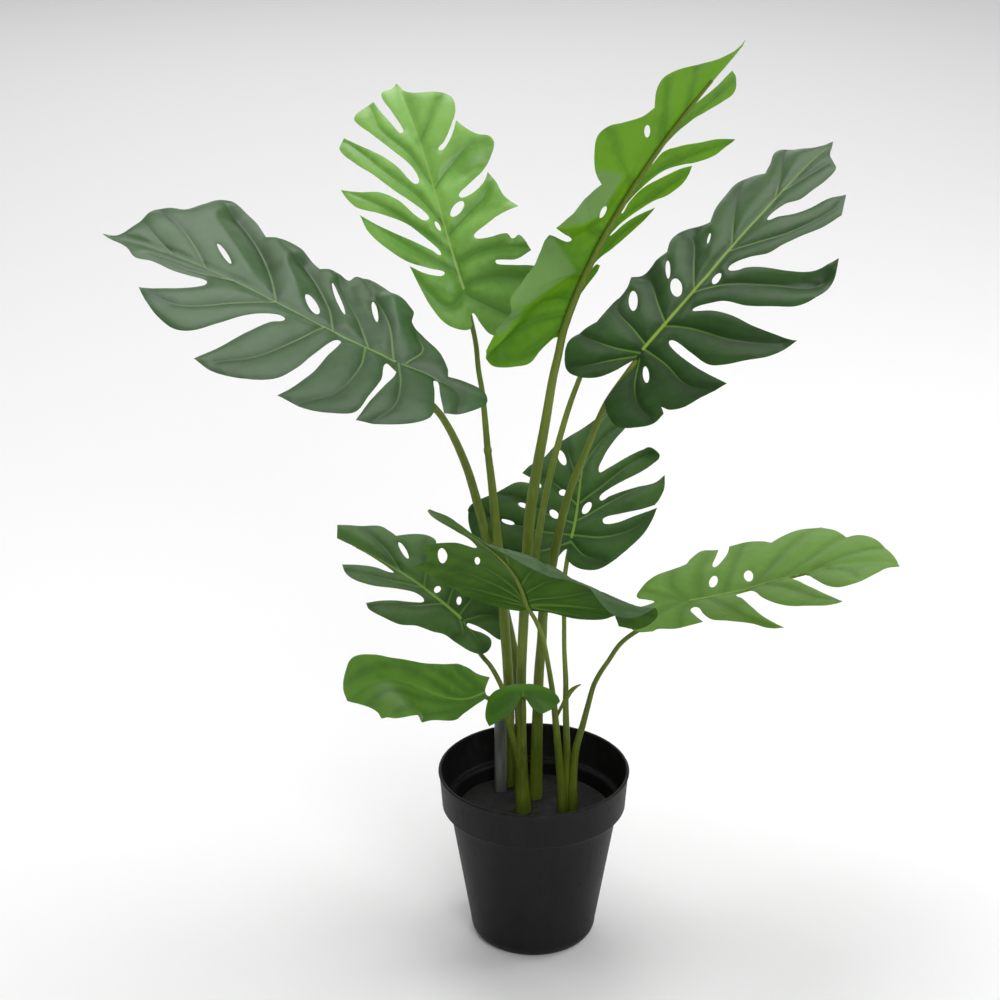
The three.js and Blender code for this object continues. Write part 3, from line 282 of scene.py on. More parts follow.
# ---- stalks: [x, y, z, radius], from the filler up -------------------------
STALKS = {
    "far_left": [[-8, 46, 108, 4], [-10, 50, 149, 4], [-14, 58, 205, 3.9], [-23, 62, 253, 3.8],
        [-32, 60, 296, 3.8], [-37, 54, 319, 3.7], [-43, 43, 350, 3.5], [-53, 22, 396, 3.1],
        [-68.5, -2, 442, 2.7], [-85, -15, 468, 2.5]],
    "back_left": [[-19, 48, 106, 4.2], [-19, 48, 148, 4.2], [-20, 46, 201, 4], [-23, 46, 248, 4],
        [-27, 49, 302, 3.9], [-30, 54, 334, 3.6], [-33, 61, 363, 3.1], [-36, 66, 388, 2.6],
        [-40, 74, 432, 2.1], [-43, 77, 450, 2], [-45, 81, 470, 1.9], [-50, 84, 494, 1.9]],
    "top": [[-8, 6, 102, 5.8], [-10, 6, 140, 5.4], [-10, 6, 178, 4], [-10, 5, 226, 3.8],
        [-8, 4, 280, 3.8], [-6, 3, 324, 4.3], [-4, 2, 361, 4.3], [1, 1, 399, 4],
        [7, 0, 437, 3.6], [12.5, -1, 474, 3.2], [16.5, -2, 494, 3]],
    "spare": [[-4, 6, 280, 2.6], [1, 12, 324, 2.9], [6, 20, 357, 2.7], [13.5, 30, 391, 2.5],
        [22.5, 42, 422, 2.3], [29, 48, 441, 2.1], [38, 55, 462, 1.8], [47, 58, 478, 1.4]],
    "upper_right": [[2, 27, 107, 4.9], [3, 27, 173, 4.3], [4, 25, 216, 3.9], [6, 23, 246, 3.8],
        [7, 21, 272, 3.8], [12, 18, 304, 3.8], [19, 14, 346, 3.4], [27, 10, 381, 2.9],
        [38, 4, 414, 2.5], [51, -2, 452, 2.3], [64, -5, 475, 2.2]],
    "lower_left": [[-12, 6, 135, 3], [-17, 8, 174, 2.6], [-20, 16, 192, 2.3], [-26, 34, 201, 2],
        [-34, 52, 208, 1.9], [-41, 62, 212, 1.8], [-50, 70, 224, 1.8]],
    "small_left": [[-12, 6, 144, 3], [-17, 3, 173, 2.5], [-23, -4, 197, 2], [-31, -9, 208, 1.8]],
    "small_front": [[-9, 5, 149, 2.6], [-8, 0, 183, 2], [-8, -8, 203, 1.8], [-8, -15, 214, 1.5]],
    "front": [[23, 6, 106, 3.8], [21, 5, 136, 3.4], [18, 2, 171, 2.9], [15, -2, 206, 2.3],
        [11, -8, 237, 1.9], [6, -15, 267, 1.7], [0, -22, 286, 1.7]],
    "rear": [[27, 8, 104, 3.6], [26, 10, 156, 2.9], [25, 18, 187, 2.4], [25, 28, 208, 2.1],
        [24, 42, 227, 1.8], [24, 60, 246, 1.8], [24, 76, 267, 1.8], [27, 88, 286, 1.8]],
    "lower_right": [[31, 6, 106, 3.8], [31, 6, 133, 3.3], [33, 6, 159, 2.9], [38, 7, 179, 2.5],
        [42, 8, 196, 2.2], [46, 8, 213, 2], [51, 9, 224, 1.9], [57, 9, 234, 1.8],
        [66, 9, 249, 1.8], [77, 9, 259, 1.8], [98, 9, 272, 1.8]],
    "sprig": [[18, 1, 191, 1.2], [22, 0, 201, 1.3], [26, 0, 209, 2], [30, 0, 215, 1.7],
        [36, 0, 219, 0.4]],
}

# ---- veins ------------------------------------------------------------------
# Side veins of each leaf, [across, along] from the midrib outwards.
VEINS = {
    "leaf_far_left": [
        [[0, 110], [-20, 132], [-45, 165], [-44, 204]],
        [[0, 65], [-30, 72], [-60, 84], [-78, 106]],
        [[0, 27], [-25, 14], [-60, 10], [-80, 26]],
        [[0, -3], [-25, -22], [-50, -34], [-70, -30]],
        [[0, -6], [0, -36], [-8, -62], [-26, -72]],
        [[0, 205], [8, 222], [20, 240]],
        [[0, 175], [14, 194], [28, 216], [38, 236]],
        [[0, 150], [-8, 180], [-9, 220]],
        [[0, 110], [22, 132], [46, 162], [68, 200]],
        [[0, 57], [22, 78], [42, 108], [56, 146]],
        [[1, 25], [25, 54], [46, 84], [56, 96]],
        [[2, 3], [28, 26], [52, 58], [66, 78]],
        [[2, -8], [22, -9], [38, 8], [50, 22]],
    ],
    "leaf_back_left": [
        [[-1, -4], [-14, -10], [-25, 4], [-33, 24]],
        [[-1, 12], [-14, 25], [-36, 48], [-58, 73]],
        [[-1, 28], [-14, 46], [-38, 74], [-66, 100]],
        [[-1, 52], [-12, 76], [-34, 108], [-54, 143]],
        [[-1, 84], [-10, 112], [-25, 140], [-26, 162]],
        [[1, 120], [12, 132], [26, 146]],
        [[1, 80], [16, 92], [34, 102], [50, 102]],
        [[1, 42], [20, 53], [36, 62], [44, 76]],
        [[1, 20], [22, 23], [40, 20], [56, 14]],
        [[1, 2], [22, 2], [42, -4], [60, -12]],
        [[0, -4], [12, -16], [28, -30], [40, -34]],
    ],
    "leaf_top": [
        [[2, 200], [14, 214], [22, 222]],
        [[2, 170], [18, 187], [34, 202]],
        [[2, 132], [22, 141], [40, 152], [52, 156]],
        [[2, 88], [16, 92], [30, 106], [33, 116]],
        [[2, 55], [22, 52], [40, 46], [50, 44]],
        [[2, 35], [20, 36], [40, 30], [54, 22]],
        [[2, 20], [20, 14], [40, 0], [56, -8]],
        [[1, 10], [14, -6], [30, -18], [44, -22]],
        [[-1, 8], [-4, 32], [-11, 58]],
        [[-1, 56], [-10, 78], [-26, 98], [-39, 116]],
        [[-1, 84], [-12, 106], [-34, 132], [-52, 160]],
        [[-1, 112], [-12, 142], [-40, 170], [-76, 208]],
        [[-1, 160], [-9, 190], [-22, 214], [-30, 242]],
    ],
    "leaf_upper_right": [
        [[0, 155], [-12, 176], [-30, 200]],
        [[0, 103], [-14, 122], [-32, 148], [-40, 162]],
        [[0, 58], [-18, 78], [-38, 98], [-50, 98]],
        [[0, 25], [-20, 36], [-42, 50], [-54, 50]],
        [[0, 3], [-20, 8], [-44, 14], [-52, 26]],
        [[0, -4], [-20, -12], [-42, -17], [-58, -18]],
        [[-1, -8], [-14, -20], [-28, -34], [-40, -42]],
        [[0, 165], [8, 185], [14, 202]],
        [[1, 100], [16, 115], [32, 134], [48, 166], [47, 180]],
        [[1, 57], [16, 72], [50, 92], [76, 106], [79, 128]],
        [[1, 23], [20, 32], [50, 40], [72, 50], [90, 64]],
        [[1, 0], [24, 0], [50, -3], [68, 6]],
        [[3, -8], [16, -26], [30, -36], [44, -38]],
    ],
    "leaf_rear": [
        [[0, 60], [8, 84], [16, 110]],
        [[2, 30], [22, 50], [42, 78], [54, 108]],
        [[2, 15], [24, 31], [48, 48], [64, 60]],
        [[0, 2], [24, 5], [46, 14], [60, 28]],
        [[0, -3], [14, -12], [30, -12]],
        [[0, -4], [-18, -16], [-42, -26], [-60, -20]],
        [[0, 2], [-28, -2], [-60, 0], [-80, 8]],
        [[-1, 12], [-24, 16], [-48, 28], [-64, 30]],
        [[-1, 28], [-18, 42], [-40, 51]],
        [[-1, 48], [-10, 64], [-18, 80]],
    ],
    "leaf_lower_left": [
        [[0, 62], [10, 84], [17, 108]],
        [[0, 38], [14, 47], [34, 62]],
        [[0, 14], [15, 20], [38, 24]],
        [[0, 2], [20, 3], [42, -4]],
        [[1, -4], [14, -12], [25, -24]],
        [[-1, 40], [-14, 66], [-25, 98]],
        [[-1, 18], [-20, 34], [-42, 58]],
        [[-1, 0], [-10, -10], [-18, -8]],
        [[-1, -4], [-4, -20], [-8, -31]],
    ],
    "leaf_front": [
        [[1, 40], [4, 90], [6, 140], [3, 180]],
        [[1, 8], [14, 60], [26, 100], [34, 134]],
        [[2, 6], [24, 50], [40, 92], [50, 116]],
        [[2, 2], [24, 24], [42, 52], [50, 84]],
        [[2, 0], [14, 6], [28, 16]],
        [[-1, 34], [-14, 56], [-30, 74]],
        [[-2, 20], [-20, 34], [-44, 42]],
        [[-3, 8], [-30, 12], [-60, 22], [-80, 18]],
        [[-3, 2], [-30, 0], [-64, -4], [-94, -2]],
        [[-3, -2], [-24, -10], [-50, -16], [-64, -14]],
        [[-3, 0], [-46, -4], [-78, -18]],
        [[0, 70], [-6, 100], [-4, 130]],
    ],
    "leaf_lower_right": [
        [[-1, 96], [-14, 122], [-26, 144]],
        [[-1, 72], [-22, 100], [-46, 117]],
        [[-1, 50], [-32, 74], [-66, 98]],
        [[-1, 27], [-34, 38], [-64, 48]],
        [[-1, 7], [-30, 9], [-64, 20]],
        [[-1, -4], [-22, -14], [-46, -12]],
        [[-1, -6], [-12, -24], [-20, -34]],
        [[1, 108], [14, 126], [30, 138]],
        [[1, 60], [22, 82], [42, 100], [56, 122]],
        [[1, 14], [24, 28], [46, 44], [60, 60]],
        [[2, 0], [18, -8], [34, -10]],
        [[2, -5], [12, -24], [26, -40]],
    ],
    "leaf_small_left": [
        [[0, 10], [8, 50], [12, 90], [10, 116]],
        [[1, 4], [16, 28], [18, 60], [14, 80]],
        [[2, 0], [16, 6], [24, 16]],
        [[-1, 8], [-8, 50], [-16, 90], [-20, 122]],
        [[-1, 4], [-18, 44], [-36, 84], [-46, 118]],
        [[-2, 2], [-14, 22], [-22, 34]],
    ],
    "leaf_small_front": [
        [[0, 2], [12, 3], [24, 0]],
        [[0, 1], [10, -6], [14, -12]],
        [[0, 2], [-12, 0], [-22, -8]],
        [[0, 1], [-10, -10], [-18, -24]],
    ],
}

# Depth of the pillows between the veins, height of the slow ripples, how far a
# lobe's margin falls and how far both halves rise 30 mm out, all in millimetres.
RELIEFS = {
    "leaf_far_left": {"puff": 2.4, "ripple": 2.0, "drop": 1.6, "vee": 0},
    "leaf_back_left": {"puff": 3.2, "ripple": 1.6, "drop": 1.2, "vee": 0},
    "leaf_top": {"puff": 1.6, "ripple": 1.6, "drop": 1.2, "vee": 0},
    "leaf_upper_right": {"puff": 2.6, "ripple": 1.8, "drop": 1.6, "vee": 0},
    "leaf_rear": {"puff": 2.0, "ripple": 1.4, "drop": 1.2, "vee": 0},
    "leaf_lower_left": {"puff": 2.0, "ripple": 1.4, "drop": 1.2, "vee": 1},
    "leaf_front": {"puff": 1.4, "ripple": 1.0, "drop": 0.8, "vee": 0},
    "leaf_lower_right": {"puff": 2.0, "ripple": 1.4, "drop": 1.2, "vee": 0},
    "leaf_small_left": {"puff": 0.9, "ripple": 1.0, "drop": 0.6, "vee": 7},
    "leaf_small_front": {"puff": 1.0, "ripple": 0.8, "drop": 0.5, "vee": 0},
}

# Pleats: [across, along, height] lines a blade is bent along, and how far the
# bend reaches to either side.
PLEATS = {
    "leaf_top": [
        {"reach": 20, "line": [[5, 57, 0], [26, 48, -9], [49, 36, -16], [62, 29, -18]]},
        {"reach": 20, "line": [[2, 58, 0], [21, 67, 6], [39, 77, 12], [48, 82, 14]]},
        {"reach": 14,
         "line": [[8, 150, 0], [18, 126, -6], [22, 104, -9], [31, 92, -10], [44, 84, -11]]},
        {"reach": 16, "line": [[44, 34, -3], [43, 16, -8], [50, 5, -10], [58, -6, -10]]},
        {"reach": 13, "line": [[12, 26, 0], [30, 10, 5], [44, -12, 8]]},
    ],
    "leaf_back_left": [
        {"reach": 15, "line": [[6, 4, 0], [30, 0, -5], [56, -10, -7]]},
        {"reach": 13, "line": [[6, 34, 0], [30, 36, 4], [54, 40, 6]]},
        {"reach": 15, "line": [[6, 74, 0], [24, 84, -4], [44, 88, -5]]},
    ],
    "leaf_far_left": [
        {"reach": 16, "line": [[4, 112, 0], [30, 140, -5], [60, 184, -6]]},
        {"reach": 15, "line": [[4, 60, 0], [26, 84, -4], [48, 118, -6]]},
        {"reach": 14, "line": [[6, 20, 0], [32, 56, -4], [50, 80, -5]]},
        {"reach": 14, "line": [[5, 2, 0], [34, 22, 4], [56, 44, 6]]},
    ],
    "leaf_upper_right": [
        {"reach": 14, "line": [[6, 60, 0], [40, 86, -3], [78, 112, -6]]},
        {"reach": 14, "line": [[6, 30, 0], [40, 36, -3], [84, 58, -6]]},
        {"reach": 14, "line": [[-4, 62, 0], [-22, 84, -4], [-40, 104, -5]]},
        {"reach": 14, "line": [[-4, 28, 0], [-24, 40, -4], [-48, 54, -5]]},
    ],
}

# Hems: stretches of margin, [across, along, width], that roll over towards the
# underside so that the upper face shows.
HEMS = {
    "leaf_front": [[2, 136, 0], [-12, 108, 5], [-24, 88, 8], [-36, 66, 11], [-50, 45, 13],
                   [-64, 32, 14], [-76, 24, 17], [-88, 16, 15], [-102, 11, 4]],
}
# A hem's turn over its width, in radians, how many widths of margin may turn with
# it, and how far from its line a point still belongs to it.
HEM_TURN = 2.4
HEM_OVERRUN = 1.35
HEM_REACH = 25
# How far a pillow takes to rise from its vein, and a margin to fall.
PUFF_REACH = 7.0
FALL_REACH = 5.0
# Lengths of the ripples, and heights of the lines pressed along midrib and veins.
SLOW_RIPPLE = 46
FINE_RIPPLE = 13
FINE_RIPPLE_HEIGHT = 0.35
RIB_RIDGE = 0.35
RIB_GROOVE = 0.5
VEIN_RIDGE = 0.3

# Painted sheen: stretches of the underside, [across, along] outlines, painted with the pale
# colour of the upper face to stand for light glancing off them. They are colour only and bend no
# further than the pleats.
PAINTED_SHEEN = {
    "leaf_top": [
        [[45, 84], [39, 104], [37, 118], [36, 130], [18, 136], [15, 122], [17, 109], [26, 98]],
        [[58, 33], [55, 60], [42, 80], [22, 67], [6, 56], [24, 48], [35, 40], [46, 35]],
        [[60, 6], [58, 33], [48, 33], [44, 23], [48, 8]],
    ],
}

# Screen colours of each leaf: its upper and under face, each between the veins
# and a darker one for random patches and for painted shade in the hollows, towards the base and along
# the pleats, its midrib and its side veins.
TINTS = {
    "leaf_far_left": {
        "upper": (56, 88, 46), "upper_patch_and_shade": (38, 66, 28), "under": (72, 108, 40),
        "under_patch_and_shade": (54, 88, 26), "rib": (104, 138, 56), "vein": (84, 120, 52)},
    "leaf_back_left": {
        "upper": (126, 174, 78), "upper_patch_and_shade": (84, 136, 36), "under": (98, 146, 40),
        "under_patch_and_shade": (74, 120, 24), "rib": (150, 178, 96), "vein": (80, 128, 40)},
    "leaf_top": {
        "upper": (108, 143, 82), "upper_patch_and_shade": (78, 112, 50), "under": (99, 152, 15),
        "under_patch_and_shade": (70, 121, 8), "rib": (88, 112, 30), "vein": (84, 132, 20)},
    "leaf_upper_right": {
        "upper": (48, 82, 32), "upper_patch_and_shade": (30, 58, 16), "under": (72, 108, 40),
        "under_patch_and_shade": (54, 88, 26), "rib": (142, 170, 48), "vein": (84, 124, 38)},
    "leaf_rear": {
        "upper": (56, 90, 34), "upper_patch_and_shade": (33, 63, 16), "under": (68, 102, 36),
        "under_patch_and_shade": (50, 84, 24), "rib": (116, 148, 52), "vein": (84, 120, 44)},
    "leaf_lower_left": {
        "upper": (68, 102, 44), "upper_patch_and_shade": (44, 74, 24), "under": (68, 102, 36),
        "under_patch_and_shade": (50, 84, 24), "rib": (120, 156, 54), "vein": (82, 120, 44)},
    "leaf_front": {
        "upper": (78, 104, 68), "upper_patch_and_shade": (62, 90, 48), "under": (64, 102, 22),
        "under_patch_and_shade": (46, 80, 13), "rib": (116, 124, 58), "vein": (96, 132, 36)},
    "leaf_lower_right": {
        "upper": (104, 148, 54), "upper_patch_and_shade": (84, 126, 32), "under": (86, 130, 34),
        "under_patch_and_shade": (66, 108, 20), "rib": (128, 162, 70), "vein": (80, 122, 38)},
    "leaf_small_left": {
        "upper": (86, 132, 36), "upper_patch_and_shade": (60, 102, 18), "under": (82, 124, 28),
        "under_patch_and_shade": (62, 102, 16), "rib": (104, 142, 46), "vein": (62, 102, 22)},
    "leaf_small_front": {
        "upper": (72, 116, 24), "upper_patch_and_shade": (52, 92, 15), "under": (66, 106, 22),
        "under_patch_and_shade": (50, 86, 14), "rib": (90, 126, 36), "vein": (58, 94, 20)},
}
# Sheen of the coat at the base of each leaf and at its tip.
GLOSS = {
    "leaf_far_left": [0.3, 0.8], "leaf_back_left": [0.44, 1.1], "leaf_top": [0.33, 0.87],
    "leaf_upper_right": [0.07, 0.62], "leaf_rear": [0.02, 0.12], "leaf_lower_left": [0.08, 0.22],
    "leaf_front": [0.18, 0.5], "leaf_lower_right": [0.05, 0.15], "leaf_small_left": [0.05, 0.16],
    "leaf_small_front": [0.06, 0.2],
}
# How far the midrib's own colour reaches to each side, in millimetres.
RIB_WIDTH = {
    "leaf_far_left": 1.2, "leaf_back_left": 1.3, "leaf_top": 1.0, "leaf_upper_right": 1.9,
    "leaf_rear": 1.5, "leaf_lower_left": 1.8, "leaf_front": 1.6, "leaf_lower_right": 1.2,
    "leaf_small_left": 1.1, "leaf_small_front": 0.9,
}


# ---- shader sums ------------------------------------------------------------
class Value:
    """A number socket in a material that can be used in Python sums."""

    def __init__(self, paint, socket):
        self.paint = paint
        self.socket = socket

    def sum(self, operation, first, second):
        return self.paint.node("ShaderNodeMath", {"operation": operation}, {0: first, 1: second})

    def __add__(self, other):
        return self.sum("ADD", self, other)

    __radd__ = __add__

    def __sub__(self, other):
        return self.sum("SUBTRACT", self, other)

    def __rsub__(self, other):
        return self.sum("SUBTRACT", other, self)

    def __mul__(self, other):
        return self.sum("MULTIPLY", self, other)

    __rmul__ = __mul__

    def rise(self, start, end):
        """0 below start, 1 past end, smooth between them; start may be the larger."""
        low, high = min(start, end), max(start, end)
        ramp = self.paint.node(
            "ShaderNodeMapRange", {"interpolation_type": "SMOOTHSTEP"},
            {"Value": self, "From Min": low, "From Max": high})
        return ramp if start < end else 1 - ramp


class Paint:
    """One material and the few ways its nodes are added."""

    def __init__(self, name):
        self.material = bpy.data.materials.new(name)
        self.material.use_nodes = True
        self.tree = self.material.node_tree
        self.shader = self.tree.nodes["Principled BSDF"]

    def node(self, kind, settings, sockets, output=0):
        """A node, its settings first, then its sockets' values or links."""
        made = self.tree.nodes.new(kind)
        for name, setting in settings.items():
            setattr(made, name, setting)
        for key, given in sockets.items():
            self.feed(made.inputs[key], given)
        return Value(self, made.outputs[output])

    def feed(self, socket, given):
        if isinstance(given, Value):
            self.tree.links.new(given.socket, socket)
        else:
            socket.default_value = given

    def set(self, **sockets):
        for name, given in sockets.items():
            self.feed(self.shader.inputs[name.replace("_", " ")], given)

    def attribute(self, name):
        return self.node("ShaderNodeAttribute", {"attribute_name": name}, {}, "Fac")

    def place(self, scale=(1, 1, 1)):
        """Place on the object, stretched where a scale is under 1."""
        where = self.node("ShaderNodeTexCoord", {}, {}, "Object")
        return self.node("ShaderNodeMapping", {}, {"Vector": where, "Scale": scale})

    def height(self):
        """Height over the floor, in metres."""
        where = self.node("ShaderNodeTexCoord", {}, {}, "Object")
        return self.node("ShaderNodeSeparateXYZ", {}, {0: where}, "Z")

    def flat(self):
        """Place on a leaf's own flat outline."""
        return self.node("ShaderNodeUVMap", {"uv_map": "flat"}, {})

    def cloud(self, where, scale, detail=3.0, roughness=0.5):
        return self.node(
            "ShaderNodeTexNoise", {},
            {"Vector": where, "Scale": scale, "Detail": detail, "Roughness": roughness})

    def mix(self, share, first, second):
        return self.node(
            "ShaderNodeMix", {"data_type": "RGBA"}, {0: share, 6: first, 7: second}, 2)

    def bump(self, strength, distance, height, normal=None):
        sockets = {"Strength": strength, "Distance": distance, "Height": height}
        if normal is not None:
            sockets["Normal"] = normal
        return self.node("ShaderNodeBump", {}, sockets)


def rgb(red, green, blue):
    """A screen colour, 0 to 255, as linear light."""
    def linear(level):
        level /= 255
        return level / 12.92 if level <= 0.04045 else ((level + 0.055) / 1.055) ** 2.4
    return (linear(red), linear(green), linear(blue), 1.0)


# ---- materials --------------------------------------------------------------
def leaf_paint(name):
    """Coated cloth: two faces, pressed veins, soft patches and a fine grain, with painted shade by the
    veins, towards the base and along the pleats, and painted sheen on some facets.
    """
    tint = {part: rgb(*colour) for part, colour in TINTS[name].items()}
    paint = Paint(name)
    face = paint.attribute("face")
    vein_gap = paint.attribute("vein")
    vein_fade = paint.attribute("fade")
    rib_gap = paint.attribute("rib")
    patches = paint.cloud(paint.flat(), 3.2, 4.0, 0.55)
    streaks = paint.cloud(paint.flat(), 16.0, 3.0, 0.6)
    depth = (patches * 1.1 + streaks * 0.4 - 0.3).rise(0.15, 0.8)
    # Painted shade in the hollows along the side veins.
    vein_hollow_shade = vein_gap.rise(7.0, 0.6)
    reach = paint.attribute("reach")
    # Painted shade towards the leaf's base, and painted light and shade along the pleats, by their
    # height.
    painted_shade = reach.rise(0.6, 0.0) * 0.35 + paint.attribute("pleat") * (0.5 - face)
    # Share of the darker colour: random patches plus the painted shade.
    patch_and_shade = (depth * 0.55 + vein_hollow_shade * 0.45 + painted_shade).rise(0.05, 1.1)
    top = paint.mix(patch_and_shade, tint["upper"], tint["upper_patch_and_shade"])
    below = paint.mix(patch_and_shade, tint["under"], tint["under_patch_and_shade"])
    # Painted sheen: the upper face's pale colour laid on parts of the underside.
    below = paint.mix(paint.attribute("painted_sheen") * 0.8, below, tint["upper"])
    line = (vein_gap + 0.7 * vein_fade).rise(1.3, 0.4) * (1 - vein_fade).rise(0.0, 0.8)
    width = RIB_WIDTH[name]
    midline = rib_gap.rise(width, width * 0.5) * (1 - 0.8 * reach)
    shown = line * (1 - 0.45 * reach)
    top = paint.mix(shown * 0.85, top, tint["vein"])
    top = paint.mix(midline * 0.9, top, tint["rib"])
    below = paint.mix(shown * 0.6, below, tint["vein"])
    below = paint.mix(midline * 0.6, below, tint["rib"])
    paint.set(Base_Color=paint.mix(face, below, top))
    grain = paint.cloud(paint.flat(), 240.0, 2.0, 0.5)
    paint.set(Roughness=0.5 + 0.14 * (patches - 0.5) + 0.06 * streaks, Specular_IOR_Level=0.22)
    base_gloss, tip_gloss = GLOSS[name]
    gloss = base_gloss + (tip_gloss - base_gloss) * reach
    coat = (0.3 + 0.7 * face) * (0.3 + patches) * gloss
    paint.set(Coat_Weight=coat, Coat_Roughness=0.34, Coat_IOR=1.5)
    fine = paint.bump(0.1, 0.0002, grain)
    wrinkle = paint.cloud(paint.flat(), 13.0, 3.0, 0.5)
    crease = paint.bump(0.25, 0.0016, wrinkle, fine)
    paint.set(Normal=paint.bump(0.35, 0.0006, line, crease), IOR=1.45)
    return paint.material


def stalk_paint():
    """Olive plastic with fine lengthwise streaks, paler towards the leaves."""
    paint = Paint("stalk_plastic")
    streak = paint.cloud(paint.place((1.0, 1.0, 0.12)), 420.0, 3.0, 0.55)
    patch = paint.cloud(paint.place((1.0, 1.0, 0.5)), 38.0, 3.0, 0.5)
    rising = paint.height().rise(0.12, 0.5)
    body = paint.mix(patch.rise(0.35, 0.7), rgb(74, 90, 18), rgb(98, 116, 32))
    body = paint.mix(rising * 0.6, body, rgb(104, 124, 44))
    body = paint.mix(streak.rise(0.45, 0.75) * 0.3, body, rgb(128, 144, 60))
    paint.set(Base_Color=body, Roughness=0.42 + 0.16 * streak, Specular_IOR_Level=0.25)
    paint.set(Normal=paint.bump(0.3, 0.0006, streak))
    return paint.material


def pot_paint():
    """Black polypropylene: satin, with upright flow marks, dust and rubbed edges."""
    paint = Paint("pot_black")
    flow = paint.cloud(paint.place((1.0, 1.0, 0.08)), 60.0, 4.0, 0.6)
    dust = paint.cloud(paint.place(), 26.0, 5.0, 0.6)
    scuff = paint.cloud(paint.place((1.0, 1.0, 0.5)), 190.0, 4.0, 0.65)
    grain = paint.cloud(paint.place(), 1400.0, 2.0, 0.5)
    worn = paint.attribute("wear")
    body = paint.mix(flow.rise(0.4, 0.65) * 0.6, rgb(12, 13, 12), rgb(18, 19, 18))
    body = paint.mix(dust.rise(0.52, 0.72) * 0.2, body, rgb(38, 39, 37))
    body = paint.mix(worn * scuff.rise(0.45, 0.75) * 0.25, body, rgb(60, 61, 59))
    paint.set(Base_Color=body, Roughness=0.44 + 0.16 * dust + 0.1 * scuff.rise(0.55, 0.7))
    paint.set(Specular_IOR_Level=0.2)
    paint.set(Normal=paint.bump(0.12, 0.0003, grain, paint.bump(0.1, 0.001, flow)))
    return paint.material


def filler_paint():
    """The dull dark top dressing, smooth with soft glossier patches, paler in colour as a painted
    highlight, and specks.
    """
    paint = Paint("filler_dark")
    patch = paint.cloud(paint.place(), 34.0, 4.0, 0.55)
    grit = paint.cloud(paint.place(), 620.0, 3.0, 0.6)
    # The patches' paler colour is a painted highlight; their lower roughness gives a real one.
    body = paint.mix(patch.rise(0.42, 0.68), rgb(20, 21, 20), rgb(31, 32, 30))
    body = paint.mix(grit.rise(0.6, 0.75) * 0.4, body, rgb(44, 44, 42))
    paint.set(Base_Color=body, Roughness=0.74 - 0.25 * patch.rise(0.5, 0.75))
    paint.set(Normal=paint.bump(0.5, 0.0007, grit, paint.bump(0.4, 0.004, patch)))
    return paint.material


def tube_paint():
    """Grey plastic, streaked lengthwise and darker just over the filler."""
    paint = Paint("tube_bare")
    streak = paint.cloud(paint.place((1.0, 1.0, 0.1)), 300.0, 3.0, 0.6)
    # Darker just over the filler, towards the tube's foot.
    darker_low = paint.height().rise(0.125, 0.104)
    body = paint.mix(streak.rise(0.4, 0.7), rgb(104, 107, 102), rgb(128, 131, 126))
    body = paint.mix(darker_low * 0.6, body, rgb(70, 71, 68))
    paint.set(Base_Color=body, Roughness=0.34 + 0.2 * streak)
    paint.set(Normal=paint.bump(0.15, 0.0004, streak))
    return paint.material


def floor_paint():
    """Plain pale floor."""
    paint = Paint("studio_floor")
    paint.set(Base_Color=(FLOOR_GREY, FLOOR_GREY, FLOOR_GREY, 1.0), Roughness=0.9)
    return paint.material


# ---- mesh helpers -----------------------------------------------------------
def new_object(name, points, faces, material):
    """A mesh object with one material, at the origin."""
    mesh = bpy.data.meshes.new(name)
    mesh.from_pydata([tuple(p) for p in points], [], faces)
    mesh.update()
    made = bpy.data.objects.new(name, mesh)
    bpy.context.collection.objects.link(made)
    mesh.materials.append(material)
    return made


def keep(made, nodes):
    """Ties a finished piece to the frame."""
    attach(made, BODY)
    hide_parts(*nodes)


def smooth_faces(mesh, angle):
    """Smooth shading, with edges sharper than the angle, in degrees, left crisp."""
    mesh.polygons.foreach_set("use_smooth", [True] * len(mesh.polygons))
    mesh.set_sharp_from_angle(angle=math.radians(angle))


def add_number(mesh, name, values):
    """A number at each point that a material or a node tree can read."""
    layer = mesh.attributes.new(name, "FLOAT", "POINT")
    layer.data.foreach_set("value", np.asarray(values, dtype=np.float32))


# ---- leaf surface -----------------------------------------------------------
def unit(rows):
    """Each row as a direction of length 1."""
    rows = np.asarray(rows, float)
    return rows / np.linalg.norm(rows, axis=-1, keepdims=True)


